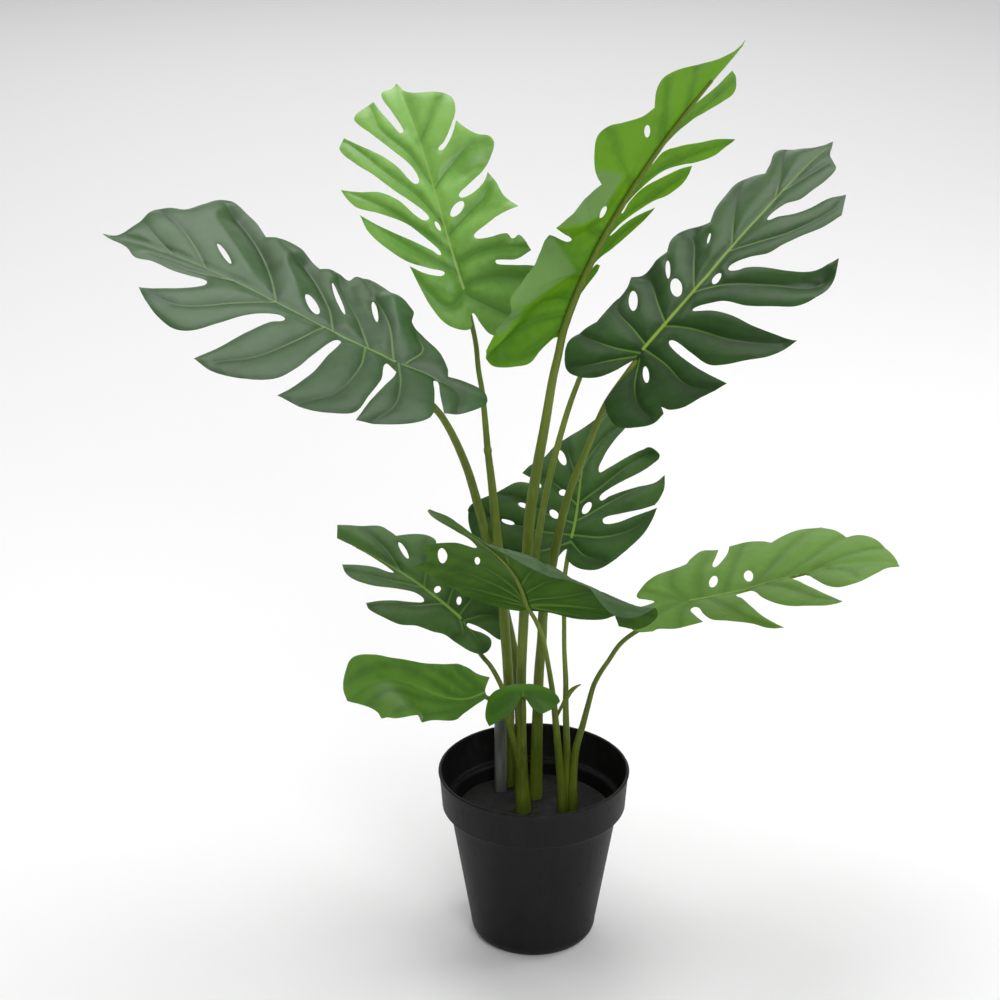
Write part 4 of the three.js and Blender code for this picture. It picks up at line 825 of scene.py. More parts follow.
class LeafSurface:
    """Lays flat [across, along] millimetres on the leaf's curved midrib and halves."""

    def __init__(self, spec):
        self.spec = spec
        self.control = np.asarray(spec["midrib"], float)
        self.steps = np.linspace(0, 1, 201)
        line = self.bezier(self.steps)
        spans = np.linalg.norm(np.diff(line, axis=0), axis=1)
        self.runs = np.concatenate([[0], np.cumsum(spans)])
        self.length = self.runs[-1]
        self.up = unit(spec["up"])

    def bezier(self, t):
        t = np.asarray(t, float)[..., None]
        a, b, c, d = self.control
        return (1 - t) ** 3 * a + 3 * t * (1 - t) ** 2 * b + 3 * t * t * (1 - t) * c + t ** 3 * d

    def slope(self, t):
        t = np.asarray(t, float)[..., None]
        a, b, c, d = self.control
        return (1 - t) ** 2 * (b - a) + 2 * t * (1 - t) * (c - b) + t * t * (d - c)

    def frame(self, along):
        """Centre, up and across at lengths along the midrib, and the share, 0 to 1."""
        inside = np.clip(along, 0, self.length)
        t = np.interp(inside, self.runs, self.steps)
        tangent = unit(self.slope(t))
        share = (inside / self.length)[..., None]
        up = self.up[0] * (1 - share) + self.up[1] * share
        up = unit(up - (up * tangent).sum(-1, keepdims=True) * tangent)
        across = np.cross(tangent, up)
        centre = self.bezier(t) + tangent * (along - inside)[..., None]
        return centre, up, across, inside / self.length

    def points(self, flat):
        """Places in space, each half risen and curled away from the midrib."""
        centre, up, across, share = self.frame(flat[:, 1])
        width = np.abs(flat[:, 0])
        place = centre.copy()
        for side, name in ((-1, "left"), (1, "right")):
            half = self.spec[name]
            rise = half["rise"][0] + (half["rise"][1] - half["rise"][0]) * share
            curl = half["curl"][0] + (half["curl"][1] - half["curl"][0]) * share
            out = np.zeros_like(width)
            lift = np.zeros_like(width)
            for i in range(CURL_STEPS):
                angle = np.radians(rise + curl * width * (i + 0.5) / CURL_STEPS / 100)
                out += np.cos(angle) * width / CURL_STEPS
                lift += np.sin(angle) * width / CURL_STEPS
            mine = (np.sign(flat[:, 0]) == side)[:, None]
            place += np.where(mine, across * (side * out)[:, None] + up * lift[:, None], 0)
        return place

    def normals(self, flat):
        ahead = self.points(flat + [0, 0.5]) - self.points(flat - [0, 0.5])
        aside = self.points(flat + [0.5, 0]) - self.points(flat - [0.5, 0])
        return unit(np.cross(aside, ahead))

    def lifted(self, flat, height):
        """Places at a height over the sheet."""
        return self.points(flat) + self.normals(flat) * height[:, None]


def hermite(a, b, start, end, count):
    """A smooth run from a to just short of b, leaving and arriving on two tangents."""
    t = (np.arange(count) / count)[:, None]
    return (a * (2 * t ** 3 - 3 * t ** 2 + 1) + start * (t ** 3 - 2 * t ** 2 + t)
            + b * (-2 * t ** 3 + 3 * t ** 2) + end * (t ** 3 - t ** 2))


def smooth_ring(outline):
    """A smooth closed line through the outline's points, straight-ended at corners."""
    points = np.asarray([p[:2] for p in outline], float)
    corner = [len(p) > 2 for p in outline]
    count = len(points)
    runs = []
    for i in range(count):
        a, b = points[i], points[(i + 1) % count]
        chord = b - a
        long = np.linalg.norm(chord)
        ends = []
        for k in (i, (i + 1) % count):
            turn = unit(points[(k + 1) % count] - points[k - 1]) * long
            ends.append(chord if corner[k] else turn)
        runs.append(hermite(a, b, ends[0], ends[1], max(2, round(long / EDGE_PITCH))))
    return np.concatenate(runs)


def smooth_line(points, pitch):
    """A smooth open line through points, with even steps."""
    points = np.asarray(points, float)
    runs = []
    for i in range(len(points) - 1):
        chord = points[i + 1] - points[i]
        long = np.linalg.norm(chord)
        before = points[max(i - 1, 0)]
        after = points[min(i + 2, len(points) - 1)]
        start = unit(points[i + 1] - before) * long if i else chord
        end = unit(after - points[i]) * long if i + 2 < len(points) else chord
        runs.append(hermite(points[i], points[i + 1], start, end, max(2, round(long / pitch))))
    return np.concatenate([*runs, points[-1:]])


def slot_ring(slot):
    """An oval hole between two ends, [across, along, across, along, width]."""
    *ends, width = slot
    a, b = np.array(ends[:2], float), np.array(ends[2:], float)
    middle, axis = (a + b) / 2, (b - a) / 2
    side = unit(np.array([-axis[1], axis[0]])) * width / 2
    angles = -2 * np.pi * np.arange(SLOT_SIDES) / SLOT_SIDES
    return middle + np.cos(angles)[:, None] * axis + np.sin(angles)[:, None] * side


def inside_ring(points, ring):
    """Which points a closed line goes round."""
    inside = np.zeros(len(points), bool)
    for a, b in zip(ring, np.roll(ring, 1, axis=0)):
        crosses = (a[1] > points[:, 1]) != (b[1] > points[:, 1])
        reach = (b[0] - a[0]) * (points[:, 1] - a[1]) / (b[1] - a[1] + 1e-12) + a[0]
        inside ^= crosses & (points[:, 0] < reach)
    return inside


def line_gaps(points, line, closed=False):
    """Each point's distance to a line, and how far along it, 0 to 1."""
    starts = line if closed else line[:-1]
    ends = np.roll(line, -1, axis=0) if closed else line[1:]
    best = np.full(len(points), 1e9)
    share = np.zeros(len(points))
    for i, (a, b) in enumerate(zip(starts, ends)):
        ab = b - a
        t = np.clip(((points - a) @ ab) / max(ab @ ab, 1e-12), 0, 1)
        gap = np.linalg.norm(points - a - t[:, None] * ab, axis=1)
        nearer = gap < best
        best = np.where(nearer, gap, best)
        share = np.where(nearer, (i + t) / len(starts), share)
    return best, share


def ripple(flat, seed, scale):
    """Soft random heights, -1 to 1, over flat millimetres."""
    return np.array([noise.noise(Vector((x / scale, y / scale, seed * 3.7))) for x, y in flat])


# ---- leaf blades: a flat net of triangles first ------------------------------
def inside_blade(points, rings):
    """Which points lie inside the outline and outside every slot."""
    outline, *holes = rings
    good = inside_ring(points, outline)
    for hole in holes:
        good &= ~inside_ring(points, hole)
    return good


def clear_of_rings(points, rings, margin):
    good = inside_blade(points, rings)
    for loop in rings:
        good &= line_gaps(points, loop, closed=True)[0] > margin
    return good


def fixed_points(rings, lines):
    """All points of the rings and lines, and the edges that the net has to keep."""
    edges = []
    total = 0
    for loop in rings:
        count = len(loop)
        edges += [(total + i, total + (i + 1) % count) for i in range(count)]
        total += count
    for line in lines:
        good = clear_of_rings(line, rings, 0.9)
        kept = np.flatnonzero(good[:-1] & good[1:])
        edges += [(total + i, total + i + 1) for i in kept.tolist()]
        total += len(line)
    return np.concatenate([*rings, *lines]), edges


def points_beside(lines, rings):
    """Points close to both sides of each line, which keep its groove sharp."""
    beside = []
    for line in lines:
        ahead = unit(np.gradient(line, axis=0))
        aside = np.stack([-ahead[:, 1], ahead[:, 0]], axis=1)
        beside += [line - aside * 1.1, line + aside * 1.1]
    beside = np.concatenate(beside)
    return beside[clear_of_rings(beside, rings, 0.8)]


def loose_points(lines, rings):
    """A staggered grid that fills the rest of the blade."""
    low, high = rings[0].min(axis=0), rings[0].max(axis=0)
    rows = np.arange(low[1], high[1], MESH_PITCH * 0.87)
    columns = np.arange(low[0], high[0], MESH_PITCH)
    grid = np.array([
        (x + (MESH_PITCH / 2 if i % 2 else 0), y) for i, y in enumerate(rows) for x in columns])
    clear = clear_of_rings(grid, rings, MESH_PITCH * 0.55)
    for line in lines:
        clear &= line_gaps(grid, line)[0] > MESH_PITCH * 0.85
    return grid[clear]


def blade_net(rings, lines):
    """Flat points and triangles over a leaf, with lines of edges along its veins."""
    fixed, edges = fixed_points(rings, lines)
    points = np.concatenate([fixed, points_beside(lines, rings), loose_points(lines, rings)])
    flat, _, faces, *_ = delaunay_2d_cdt([Vector(p) for p in points], edges, [], 0, 1e-5)
    flat = np.array([tuple(p) for p in flat])
    faces = np.array([tuple(f) for f in faces])
    faces = faces[inside_blade(flat[faces].mean(axis=1), rings)]
    corners = flat[faces]
    ab, ac = corners[:, 1] - corners[:, 0], corners[:, 2] - corners[:, 0]
    area = ab[:, 0] * ac[:, 1] - ab[:, 1] * ac[:, 0]
    faces[area < 0] = faces[area < 0][:, ::-1]
    faces = faces[np.abs(area) > 1e-6]
    used = np.unique(faces)
    renumber = np.full(len(flat), -1)
    renumber[used] = np.arange(len(used))
    return flat[used], renumber[faces]


# ---- leaf blades: their relief ----------------------------------------------
def pleat_heights(name, flat):
    """Lift of the straight-sided folds that run out through the lobes."""
    lift = np.zeros(len(flat))
    for pleat in PLEATS.get(name, []):
        knots = np.asarray(pleat["line"], float)
        gap, share = line_gaps(flat, knots[:, :2])
        crest = np.interp(share, np.linspace(0, 1, len(knots)), knots[:, 2])
        slope = np.clip(1 - np.hypot(gap, 1.2) / pleat["reach"], 0, 1)
        lift += crest * slope
    return lift


def painted_sheen_share(name, flat):
    """1 inside a patch of painted sheen, 0 outside it, soft over its edge."""
    share = np.zeros(len(flat))
    for outline in PAINTED_SHEEN.get(name, []):
        ring = np.asarray(outline, float)
        gap = line_gaps(flat, ring, closed=True)[0]
        inward = np.where(inside_ring(flat, ring), gap, -gap)
        share = np.maximum(share, np.clip(0.5 + inward / 2.4, 0, 1))
    return share


def rolled(name, flat, height):
    """Rolls a leaf's hemmed margin round towards its underside."""
    if name not in HEMS:
        return flat, height
    knots = smooth_line(HEMS[name], HEM_PITCH)
    ahead = unit(np.gradient(knots[:, :2], axis=0))
    outs = np.stack([ahead[:, 1], -ahead[:, 0]], axis=1)
    best = np.full(len(flat), 1e9)
    width = np.zeros(len(flat))
    inward = np.zeros(len(flat))
    outward = np.zeros((len(flat), 2))
    for i, (a, b) in enumerate(zip(knots[:-1], knots[1:])):
        ab = b[:2] - a[:2]
        t = np.clip(((flat - a[:2]) @ ab) / (ab @ ab), 0, 1)
        apart = a[:2] + t[:, None] * ab - flat
        gap = np.linalg.norm(apart, axis=1)
        out = unit(outs[i] + t[:, None] * (outs[i + 1] - outs[i]))
        nearer = gap < best
        best = np.where(nearer, gap, best)
        width = np.where(nearer, a[2] + (b[2] - a[2]) * t, width)
        inward = np.where(nearer, gap * np.sign((apart * out).sum(axis=1)), inward)
        outward = np.where(nearer[:, None], out, outward)
    past = np.where(best < HEM_REACH, np.clip(width - inward, 0, HEM_OVERRUN * width), 0)
    radius = np.maximum(width, 0.5) / HEM_TURN
    angle = past / radius
    swing = radius + height
    shift = swing * np.sin(angle) - past
    return flat + outward * shift[:, None], swing * np.cos(angle) - radius


def nearness(flat, lines, rings):
    """Distances to the midrib, the nearest side vein and the margin, and how far
    along the midrib and the vein, 0 to 1."""
    rib, reach = line_gaps(flat, lines[0])
    vein = np.full(len(flat), 1e9)
    fade = np.zeros(len(flat))
    for line in lines[1:]:
        gap, share = line_gaps(flat, line)
        fade = np.where(gap < vein, share, fade)
        vein = np.minimum(vein, gap)
    edge = np.min([line_gaps(flat, loop, closed=True)[0] for loop in rings], axis=0)
    return {"rib": rib, "reach": reach, "vein": vein, "fade": fade, "edge": edge}


def relief(name, seed, flat, near):
    """Height of a blade over its curved sheet, before its pleats."""
    depths = RELIEFS[name]
    rib = near["rib"]
    line = np.minimum(near["vein"] + 2.0 * near["fade"], rib)
    height = depths["puff"] * (1 - np.exp(-(line / PUFF_REACH) ** 1.1))
    height -= depths["drop"] * np.exp(-near["edge"] / FALL_REACH)
    height += depths["ripple"] * ripple(flat, seed, SLOW_RIPPLE) * np.clip(rib / 22, 0, 1)
    height += FINE_RIPPLE_HEIGHT * ripple(flat, seed + 0.5, FINE_RIPPLE) * np.clip(line / 6, 0, 1)
    height += RIB_RIDGE * np.exp(-rib ** 2) * (1 - 0.6 * near["reach"])
    height -= RIB_GROOVE * np.exp(-((rib - 2.6) / 1.4) ** 2)
    height += depths["vee"] * np.minimum(rib / 30, 1.5)
    return height


def shell_faces(faces, count):
    """Upper face, under face and the margin between them, from flat triangles."""
    shell = [tuple(face) for face in faces]
    shell += [(c + count, b + count, a + count) for a, b, c in faces]
    sides = dict.fromkeys(pair for a, b, c in faces for pair in ((a, b), (b, c), (c, a)))
    for start, end in sides:
        if (end, start) not in sides:
            shell.append((end, start, start + count, end + count))
    return shell


def lay_flat_map(mesh, flat, seed):
    """UV map of the leaf's own flat outline, shifted so that no two leaves match."""
    uv = mesh.uv_layers.new(name="flat")
    corners = np.empty(len(mesh.loops), dtype=np.int32)
    mesh.loops.foreach_get("vertex_index", corners)
    spread = np.tile(flat * 0.01 + [0.37 * seed, 0.21 * seed], (2, 1))[corners]
    uv.data.foreach_set("uv", spread.astype(np.float32).ravel())


def blade(name, seed, material):
    """A leaf as one closed thin solid, pillowed between its veins."""
    spec = LEAVES[name]
    surface = LeafSurface(spec)
    rings = [smooth_ring(spec["outline"]), *(slot_ring(slot) for slot in spec["slots"])]
    along = np.linspace(0, surface.length * 0.97, MIDRIB_STEPS)
    midrib = np.stack([np.zeros(MIDRIB_STEPS), along], axis=1)
    lines = [midrib, *(smooth_line(line, VEIN_PITCH) for line in VEINS[name])]
    flat, faces = blade_net(rings, lines)
    count = len(flat)
    near = nearness(flat, lines, rings)
    pleat = pleat_heights(name, flat)
    height = relief(name, seed, flat, near) + pleat
    half = BLADE_THICKNESS / 2 * (0.45 + 0.55 * np.clip(near["edge"] / 1.2, 0, 1))
    ridge = VEIN_RIDGE * np.exp(-(near["vein"] / 0.8) ** 2) * (1 - near["fade"])
    top = surface.lifted(*rolled(name, flat, height + half))
    bottom = surface.lifted(*rolled(name, flat, height - half - ridge))
    points = np.concatenate([top, bottom]) * MM
    made = new_object(name + "_blade", points, shell_faces(faces, count), material)
    smooth_faces(made.data, 55)
    numbers = {
        "vein": near["vein"],
        "fade": near["fade"],
        "rib": near["rib"] + 0.8 * near["reach"],
        "reach": near["reach"],
        # The pleats' heights, also read by the material for painted light and shade along them.
        "pleat": np.clip(pleat / 8, -1, 1),
        "painted_sheen": painted_sheen_share(name, flat),
    }
    for label, values in numbers.items():
        add_number(made.data, label, np.tile(values, 2))
    add_number(made.data, "face", np.repeat([1.0, 0.0], count))
    lay_flat_map(made.data, flat, seed)
    keep(made, [name])


# ---- stalks: swept along their paths by geometry nodes ----------------------
class NodeTree:
    """A geometry node tree and the one way its nodes are added."""

    def __init__(self, name, inputs):
        self.tree = bpy.data.node_groups.new(name, "GeometryNodeTree")
        self.tree.interface.new_socket("Geometry", in_out="INPUT", socket_type="NodeSocketGeometry")
        for label, kind in inputs.items():
            self.tree.interface.new_socket(label, in_out="INPUT", socket_type=kind)
        self.tree.interface.new_socket("Geometry", in_out="OUTPUT", socket_type="NodeSocketGeometry")
        self.given = self.tree.nodes.new("NodeGroupInput").outputs

    def add(self, kind, settings, sockets, output=0):
        """A node, its settings first, then its sockets' values or links."""
        made = self.tree.nodes.new(kind)
        for name, setting in settings.items():
            setattr(made, name, setting)
        for key, given in sockets.items():
            if isinstance(given, bpy.types.NodeSocket):
                self.tree.links.new(given, made.inputs[key])
            else:
                made.inputs[key].default_value = given
        return made.outputs[output]

    def end(self, geometry):
        out = self.tree.nodes.new("NodeGroupOutput")
        self.tree.links.new(geometry, out.inputs[0])

    def identifier(self, label):
        return next(s.identifier for s in self.tree.interface.items_tree
                    if s.name == label and s.in_out == "INPUT")


def sweep_tree():
    """Turns a chain of edges with a radius at each point into a round closed stalk."""
    net = NodeTree("stalk_sweep", {
        "Sides": "NodeSocketInt", "Ring Gap": "NodeSocketFloat", "Finish": "NodeSocketMaterial"})
    radius = net.add(
        "GeometryNodeInputNamedAttribute", {"data_type": "FLOAT"}, {"Name": "girth"})
    path = net.add("GeometryNodeMeshToCurve", {}, {"Mesh": net.given["Geometry"]})
    path = net.add(
        "GeometryNodeResampleCurve", {"mode": "LENGTH"},
        {"Curve": path, "Length": net.given["Ring Gap"]})
    section = net.add(
        "GeometryNodeCurvePrimitiveCircle", {"mode": "RADIUS"},
        {"Resolution": net.given["Sides"], "Radius": 1.0})
    tube = net.add(
        "GeometryNodeCurveToMesh", {},
        {"Curve": path, "Profile Curve": section, "Scale": radius, "Fill Caps": True})
    tube = net.add("GeometryNodeSetShadeSmooth", {}, {"Geometry": tube})
    tube = net.add("GeometryNodeRealizeInstances", {}, {"Geometry": tube})
    net.end(net.add(
        "GeometryNodeSetMaterial", {}, {"Geometry": tube, "Material": net.given["Finish"]}))
    return net


def rib_run(stalk_end, leaf, reach, thinning):
    """Stations of the rib that carries on under a blade, thinning to its tip."""
    surface = LeafSurface(LEAVES[leaf])
    shares = np.array([0.02, 0.06, 0.12, 0.22, 0.34, 0.46, 0.58, 0.7, 0.82, 0.92, 1.0])
    centre, up, _, _ = surface.frame(shares * reach * surface.length)
    girth = np.maximum(0.45, stalk_end * (1 - thinning * shares))
    centre = centre - up * (BLADE_THICKNESS / 2 + RIB_CLEAR + girth * 0.75)[:, None]
    return np.concatenate([centre, girth[:, None]], axis=1)


def stalk_stations(name, leaf=None, reach=0.85, sunk=True, thinning=0.82):
    """Stations of one stalk, its foot sunk in the filler and its rib under its leaf."""
    stations = np.asarray(STALKS[name], float)
    if sunk:
        foot = stations[0].copy()
        foot[2] = STALK_FOOT
        flare = stations[0].copy()
        flare[3] *= 1.12
        stations = np.vstack([foot, flare, stations[1:]])
    if leaf is not None:
        stations = np.vstack([stations, rib_run(stations[-1][3], leaf, reach, thinning)])
    return stations


def ring_joint(stations, index, swell):
    """Adds the raised joint ring where one length of stalk is pushed into the next."""
    at = stations[index]
    ahead = unit(stations[index + 1][:3] - stations[index - 1][:3])
    ring = []
    for shift, extra in ((-2.4, 0.1), (-1.8, swell), (1.4, swell), (2.0, 0.0)):
        ring.append([*(at[:3] + ahead * shift), at[3] + extra])
    return np.vstack([stations[:index], ring, stations[index + 1:]])


def smooth_stations(stations):
    """Stations every few millimetres on a smooth path, girth changing evenly."""
    runs = []
    last = len(stations) - 1
    for i in range(last):
        a, b = stations[i], stations[i + 1]
        before, after = stations[max(i - 1, 0)], stations[min(i + 2, last)]
        long = np.linalg.norm(b[:3] - a[:3])
        start, end = (b - before) / 2, (after - a) / 2
        for tangent, low, high in ((start, before, b), (end, a, after)):
            tangent *= 2 * long / max(np.linalg.norm(high[:3] - low[:3]), 1e-6)
            tangent[3] = b[3] - a[3]
        runs.append(hermite(a, b, start, end, max(1, round(long / STALK_PITCH))))
    return np.concatenate([*runs, stations[-1:]])


def stalk_piece(name, paths, tree, material):
    """One piece made of smooth stalks swept along their paths."""
    points = []
    edges = []
    for path in paths:
        path = smooth_stations(path)
        start = len(points)
        points += path.tolist()
        edges += [(start + i, start + i + 1) for i in range(len(path) - 1)]
    points = np.array(points)
    mesh = bpy.data.meshes.new(name + "_path")
    mesh.from_pydata((points[:, :3] * MM).tolist(), edges, [])
    add_number(mesh, "girth", points[:, 3] * MM)
    path_object = bpy.data.objects.new(name + "_path", mesh)
    bpy.context.collection.objects.link(path_object)
    modifier = path_object.modifiers.new("sweep", "NODES")
    modifier.node_group = tree.tree
    modifier[tree.identifier("Sides")] = STALK_SIDES
    modifier[tree.identifier("Ring Gap")] = STALK_RING_GAP * MM
    modifier[tree.identifier("Finish")] = material
    evaluated = path_object.evaluated_get(bpy.context.evaluated_depsgraph_get())
    swept = bpy.data.meshes.new_from_object(evaluated)
    bpy.data.objects.remove(path_object)
    swept.name = name
    made = bpy.data.objects.new(name + "_sweep", swept)
    bpy.context.collection.objects.link(made)
    keep(made, [name])


# ---- pot, filler, tube ------------------------------------------------------
def ring_faces(rings, sides):
    """Faces over rings of points, closed by one point below and one above."""
    faces = []
    last = 1 + (rings - 1) * sides
    for k in range(sides):
        after = (k + 1) % sides
        faces.append((0, 1 + after, 1 + k))
        for i in range(rings - 1):
            a, b = 1 + i * sides, 1 + (i + 1) * sides
            faces.append((a + k, a + after, b + after, b + k))
        faces.append((last + k, last + after, last + sides))
    return faces


def turned_piece(name, profile, sides, material):
    """A closed solid turned from [radius, height] points that start and end on the axis."""
    points = [(0.0, 0.0, profile[0][1])]
    for radius, height in profile[1:-1]:
        for k in range(sides):
            angle = 2 * math.pi * k / sides
            points.append((radius * math.cos(angle), radius * math.sin(angle), height))
    points.append((0.0, 0.0, profile[-1][1]))
    faces = ring_faces(len(profile) - 2, sides)
    made = new_object(name, np.array(points) * MM, faces, material)
    smooth_faces(made.data, 40)
    return made


def arc(centre, radius, start, end, steps):
    """Points [radius, height] of an arc, angles in degrees from outwards."""
    return [
        (centre[0] + radius * math.cos(math.radians(start + (end - start) * i / steps)),
         centre[1] + radius * math.sin(math.radians(start + (end - start) * i / steps)))
        for i in range(steps + 1)]


def inner_radius(z):
    """Radius of the pot's inside below its collar, at a height."""
    collar = POT_HEIGHT - POT_COLLAR_DEPTH
    share = (z - POT_FOOT_BEND) / (collar + 1.5 - POT_FOOT_BEND)
    return POT_FOOT_RADIUS - POT_WALL + (POT_SHOULDER_RADIUS - POT_FOOT_RADIUS) * share


def pot_profile():
    """The moulding's section: foot, wall, step, collar, lip, then down the inside."""
    collar = POT_HEIGHT - POT_COLLAR_DEPTH
    rim = POT_RIM_RADIUS
    foot_run = 0.75 * POT_FOOT_BEND
    inner_shoulder = POT_SHOULDER_RADIUS - POT_WALL
    foot = [
        (POT_FOOT_RADIUS - foot_run * (1 - math.sin(a)), POT_FOOT_BEND * (1 - math.cos(a)))
        for a in (math.pi / 2 * i / 10 for i in range(11))]
    wall = [
        (POT_FOOT_RADIUS + (POT_SHOULDER_RADIUS - POT_FOOT_RADIUS) * i / 12,
         POT_FOOT_BEND + (collar - 1 - POT_FOOT_BEND) * i / 12)
        for i in range(1, 13)]
    step = [
        (POT_SHOULDER_RADIUS + 0.4, collar - 0.4),
        (rim - 4.6, collar + 0.1),
        *arc((rim - 4.4, collar + 1.4), 1.3, -80, 0, 5)]
    band = [
        (rim - 3.1 + 2.1 * i / 8, collar + 2.5 + (POT_COLLAR_DEPTH - 4.6) * i / 8)
        for i in range(9)]
    lip = arc((rim - 1.5, POT_HEIGHT - 1.3), 1.3, -20, 180, 10)
    inside = [
        (rim - 3 - POT_WALL, collar + 4),
        (rim - 4 - POT_WALL, collar + 2.4),
        (inner_shoulder + 4.2, collar + 2.0),
        *arc((inner_shoulder + 3.4, collar - 1.6), 3.4, 90, 180, 8),
        (POT_FOOT_RADIUS - POT_WALL, POT_FOOT_BEND),
        (POT_FOOT_RADIUS - foot_run, POT_FLOOR)]
    under = [(0, 0), (20, 0)]
    floor = [(20, POT_FLOOR), (0, POT_FLOOR)]
    return [*under, *foot, *wall, *step, *band, *lip, *inside, *floor]


def pot_piece(material):
    """The pot, marked as rubbed at its lip, its step and its foot."""
    collar = POT_HEIGHT - POT_COLLAR_DEPTH
    profile = pot_profile()
    wear = []
    for radius, height in profile:
        on_lip = height > POT_HEIGHT - 2.6
        on_step = abs(height - collar - 0.8) < 1.6 and radius > POT_SHOULDER_RADIUS
        on_foot = height < POT_FOOT_BEND * 0.6 and radius > POT_FOOT_RADIUS * 0.7
        wear.append(1.0 if on_lip or on_step or on_foot else 0.0)
    made = turned_piece("pot_shell", profile, POT_SIDES, material)
    worn = [wear[0]] + [w for w in wear[1:-1] for _ in range(POT_SIDES)] + [wear[-1]]
    add_number(made.data, "wear", worn)
    keep(made, ["pot"])


def filler_height(x, y, feet):
    """The block's uneven top, dished round each [x, y, radius] foot."""
    height = FILLER_TOP - 0.6 + 1.1 * noise.noise(Vector((x / 17, y / 17, 4.2)))
    height += 0.45 * noise.noise(Vector((x / 6, y / 6, 8.1)))
    for foot_x, foot_y, radius in feet:
        gap = math.hypot(x - foot_x, y - foot_y) - radius
        height -= 1.3 * math.exp(-max(gap, 0.0) / 2.2)
    return height


def filler_piece(material):
    """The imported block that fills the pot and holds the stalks."""
    feet = []
    for name in ("far_left", "back_left", "top", "upper_right", "front", "rear", "lower_right"):
        x, y, _, radius = STALKS[name][0]
        feet.append((x, y, radius))
    feet.append((TUBE["x"], TUBE["y"], TUBE["radius"]))
    top_radius = inner_radius(FILLER_TOP) - 0.1
    radii = [inner_radius(FILLER_BOTTOM) - 0.3]
    radii += [top_radius * (FILLER_RINGS - i) / FILLER_RINGS for i in range(FILLER_RINGS)]
    points = [(0.0, 0.0, FILLER_BOTTOM)]
    for ring, radius in enumerate(radii):
        for k in range(FILLER_SIDES):
            angle = 2 * math.pi * k / FILLER_SIDES
            x, y = radius * math.cos(angle), radius * math.sin(angle)
            points.append((x, y, filler_height(x, y, feet) if ring else FILLER_BOTTOM))
    points.append((0.0, 0.0, FILLER_TOP - 0.6))
    faces = ring_faces(len(radii), FILLER_SIDES)
    made = new_object("filler_block", np.array(points) * MM, faces, material)
    smooth_faces(made.data, 60)
    keep(made, ["filler"])


def tube_piece(material):
    """The bare tube, open at its upper end."""
    outer, top = TUBE["radius"], TUBE["top"]
    inner = outer - TUBE["wall"]
    bore_bottom = top - 30
    outside = [(outer, STALK_FOOT), (outer, FILLER_TOP), (outer, top - 20), (outer, top - 0.4)]
    mouth = [(outer - 0.3, top), (inner + 0.3, top), (inner, top - 0.4)]
    profile = [(0, STALK_FOOT), *outside, *mouth, (inner, bore_bottom), (0, bore_bottom)]
    made = turned_piece("tube_bare", profile, TUBE_SIDES, material)
    made.data.transform(Matrix.Translation((TUBE["x"] * MM, TUBE["y"] * MM, 0)))
    keep(made, ["tube_core"])


# ---- studio, in metres ------------------------------------------------------
LENS = 108
SENSOR_WIDTH = 36
CAMERA_PLACE = (-0.0265, -2.0574, 1.2998)
CAMERA_DROP = 24.2
AIR_LIGHT = 0.25
FLOOR_GREY = 0.92
FLOOR_CORNERS = [(-9, -6, 0), (9, -6, 0), (9, 12, 0), (-9, 12, 0)]
SOFT_BOXES = {
    "overhead": {"place": (-0.35, 0.45, 2.55), "aim": (0, 0, 0.4), "size": (1.9, 1.5), "power": 42},
    "front": {"place": (0.7, -2.8, 1.9), "aim": (0, 0, 0.4), "size": (1.8, 1.4), "power": 44},
    "back": {"place": (-0.2, 2.9, 1.5), "aim": (0, 0, 0.2), "size": (2.4, 1.2), "power": 16},
    "side": {"place": (1.8, 0.5, 1.5), "aim": (0, 0, 0.4), "size": (1.2, 1.5), "power": 14},
}


def camera():
    """The viewing angle: from the front, looking a little down."""
    data = bpy.data.cameras.new("view")
    data.lens = LENS
    data.sensor_width = SENSOR_WIDTH
    made = bpy.data.objects.new("view", data)
    bpy.context.collection.objects.link(made)
    made.location = CAMERA_PLACE
    made.rotation_euler = (math.radians(90 - CAMERA_DROP), 0, 0)
    bpy.context.scene.camera = made


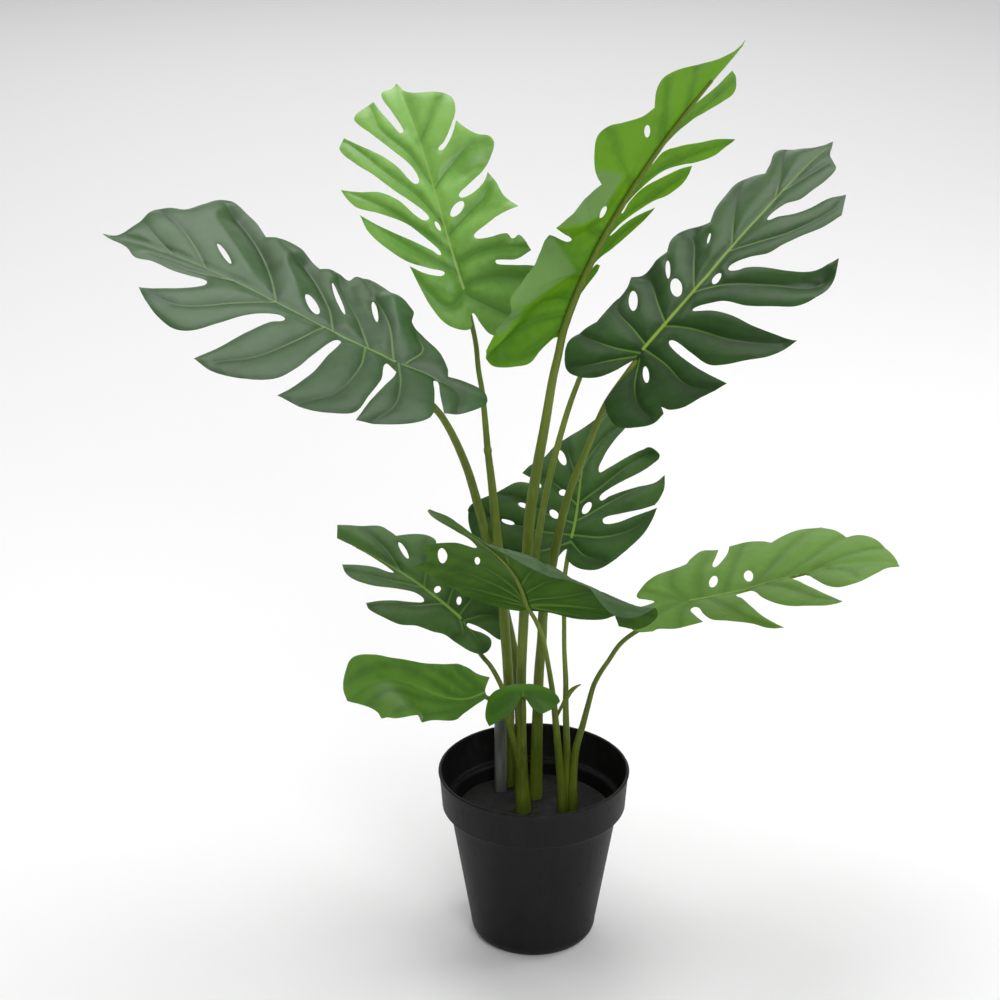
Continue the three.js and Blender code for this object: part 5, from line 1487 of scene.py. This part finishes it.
def soft_box(name, place, aim, size, power):
    """A rectangular lamp, power in watts, that points at its aim."""
    data = bpy.data.lights.new(name, "AREA")
    data.shape = "RECTANGLE"
    data.size, data.size_y = size
    data.energy = power
    made = bpy.data.objects.new(name, data)
    bpy.context.collection.objects.link(made)
    made.location = place
    made.rotation_euler = (Vector(aim) - Vector(place)).to_track_quat("-Z", "Y").to_euler()


def studio():
    """A wide pale floor, even air light and soft lamps."""
    floor = new_object("studio_floor", FLOOR_CORNERS, [(0, 1, 2, 3)], floor_paint())
    world = bpy.data.worlds.new("studio_air")
    world.use_nodes = True
    background = world.node_tree.nodes["Background"]
    background.inputs["Color"].default_value = (1.0, 1.0, 1.0, 1.0)
    background.inputs["Strength"].default_value = AIR_LIGHT
    bpy.context.scene.world = world
    for name, box in SOFT_BOXES.items():
        soft_box(name, **box)
    bpy.context.scene.view_settings.view_transform = "Standard"


# ---- assembly ---------------------------------------------------------------
camera()
studio()
pot_piece(pot_paint())
filler_piece(filler_paint())
tube_piece(tube_paint())

SWEEP = sweep_tree()
STALK = stalk_paint()
stalk_piece("stalk_far_left", [stalk_stations("far_left", "leaf_far_left")], SWEEP, STALK)
back_left = ring_joint(stalk_stations("back_left", "leaf_back_left"), JOINT_STATION, JOINT_SWELL)
stalk_piece("stalk_back_left", [back_left], SWEEP, STALK)
stalk_piece("stalk_upper_right", [stalk_stations("upper_right", "leaf_upper_right")], SWEEP, STALK)
stalk_piece("stalk_front", [
    stalk_stations("top", "leaf_top", thinning=0.6),
    stalk_stations("spare", sunk=False),
    stalk_stations("lower_left", "leaf_lower_left", sunk=False),
    stalk_stations("small_left", "leaf_small_left", 0.8, sunk=False),
    stalk_stations("small_front", sunk=False),
], SWEEP, STALK)
stalk_piece("stalk_cluster", [
    stalk_stations("front", "leaf_front", 0.8),
    stalk_stations("rear", "leaf_rear"),
    stalk_stations("lower_right", "leaf_lower_right"),
    stalk_stations("sprig", sunk=False),
], SWEEP, STALK)

for number, leaf_name in enumerate(LEAVES):
    blade(leaf_name, number + 1, leaf_paint(leaf_name))

bpy.context.view_layer.update()
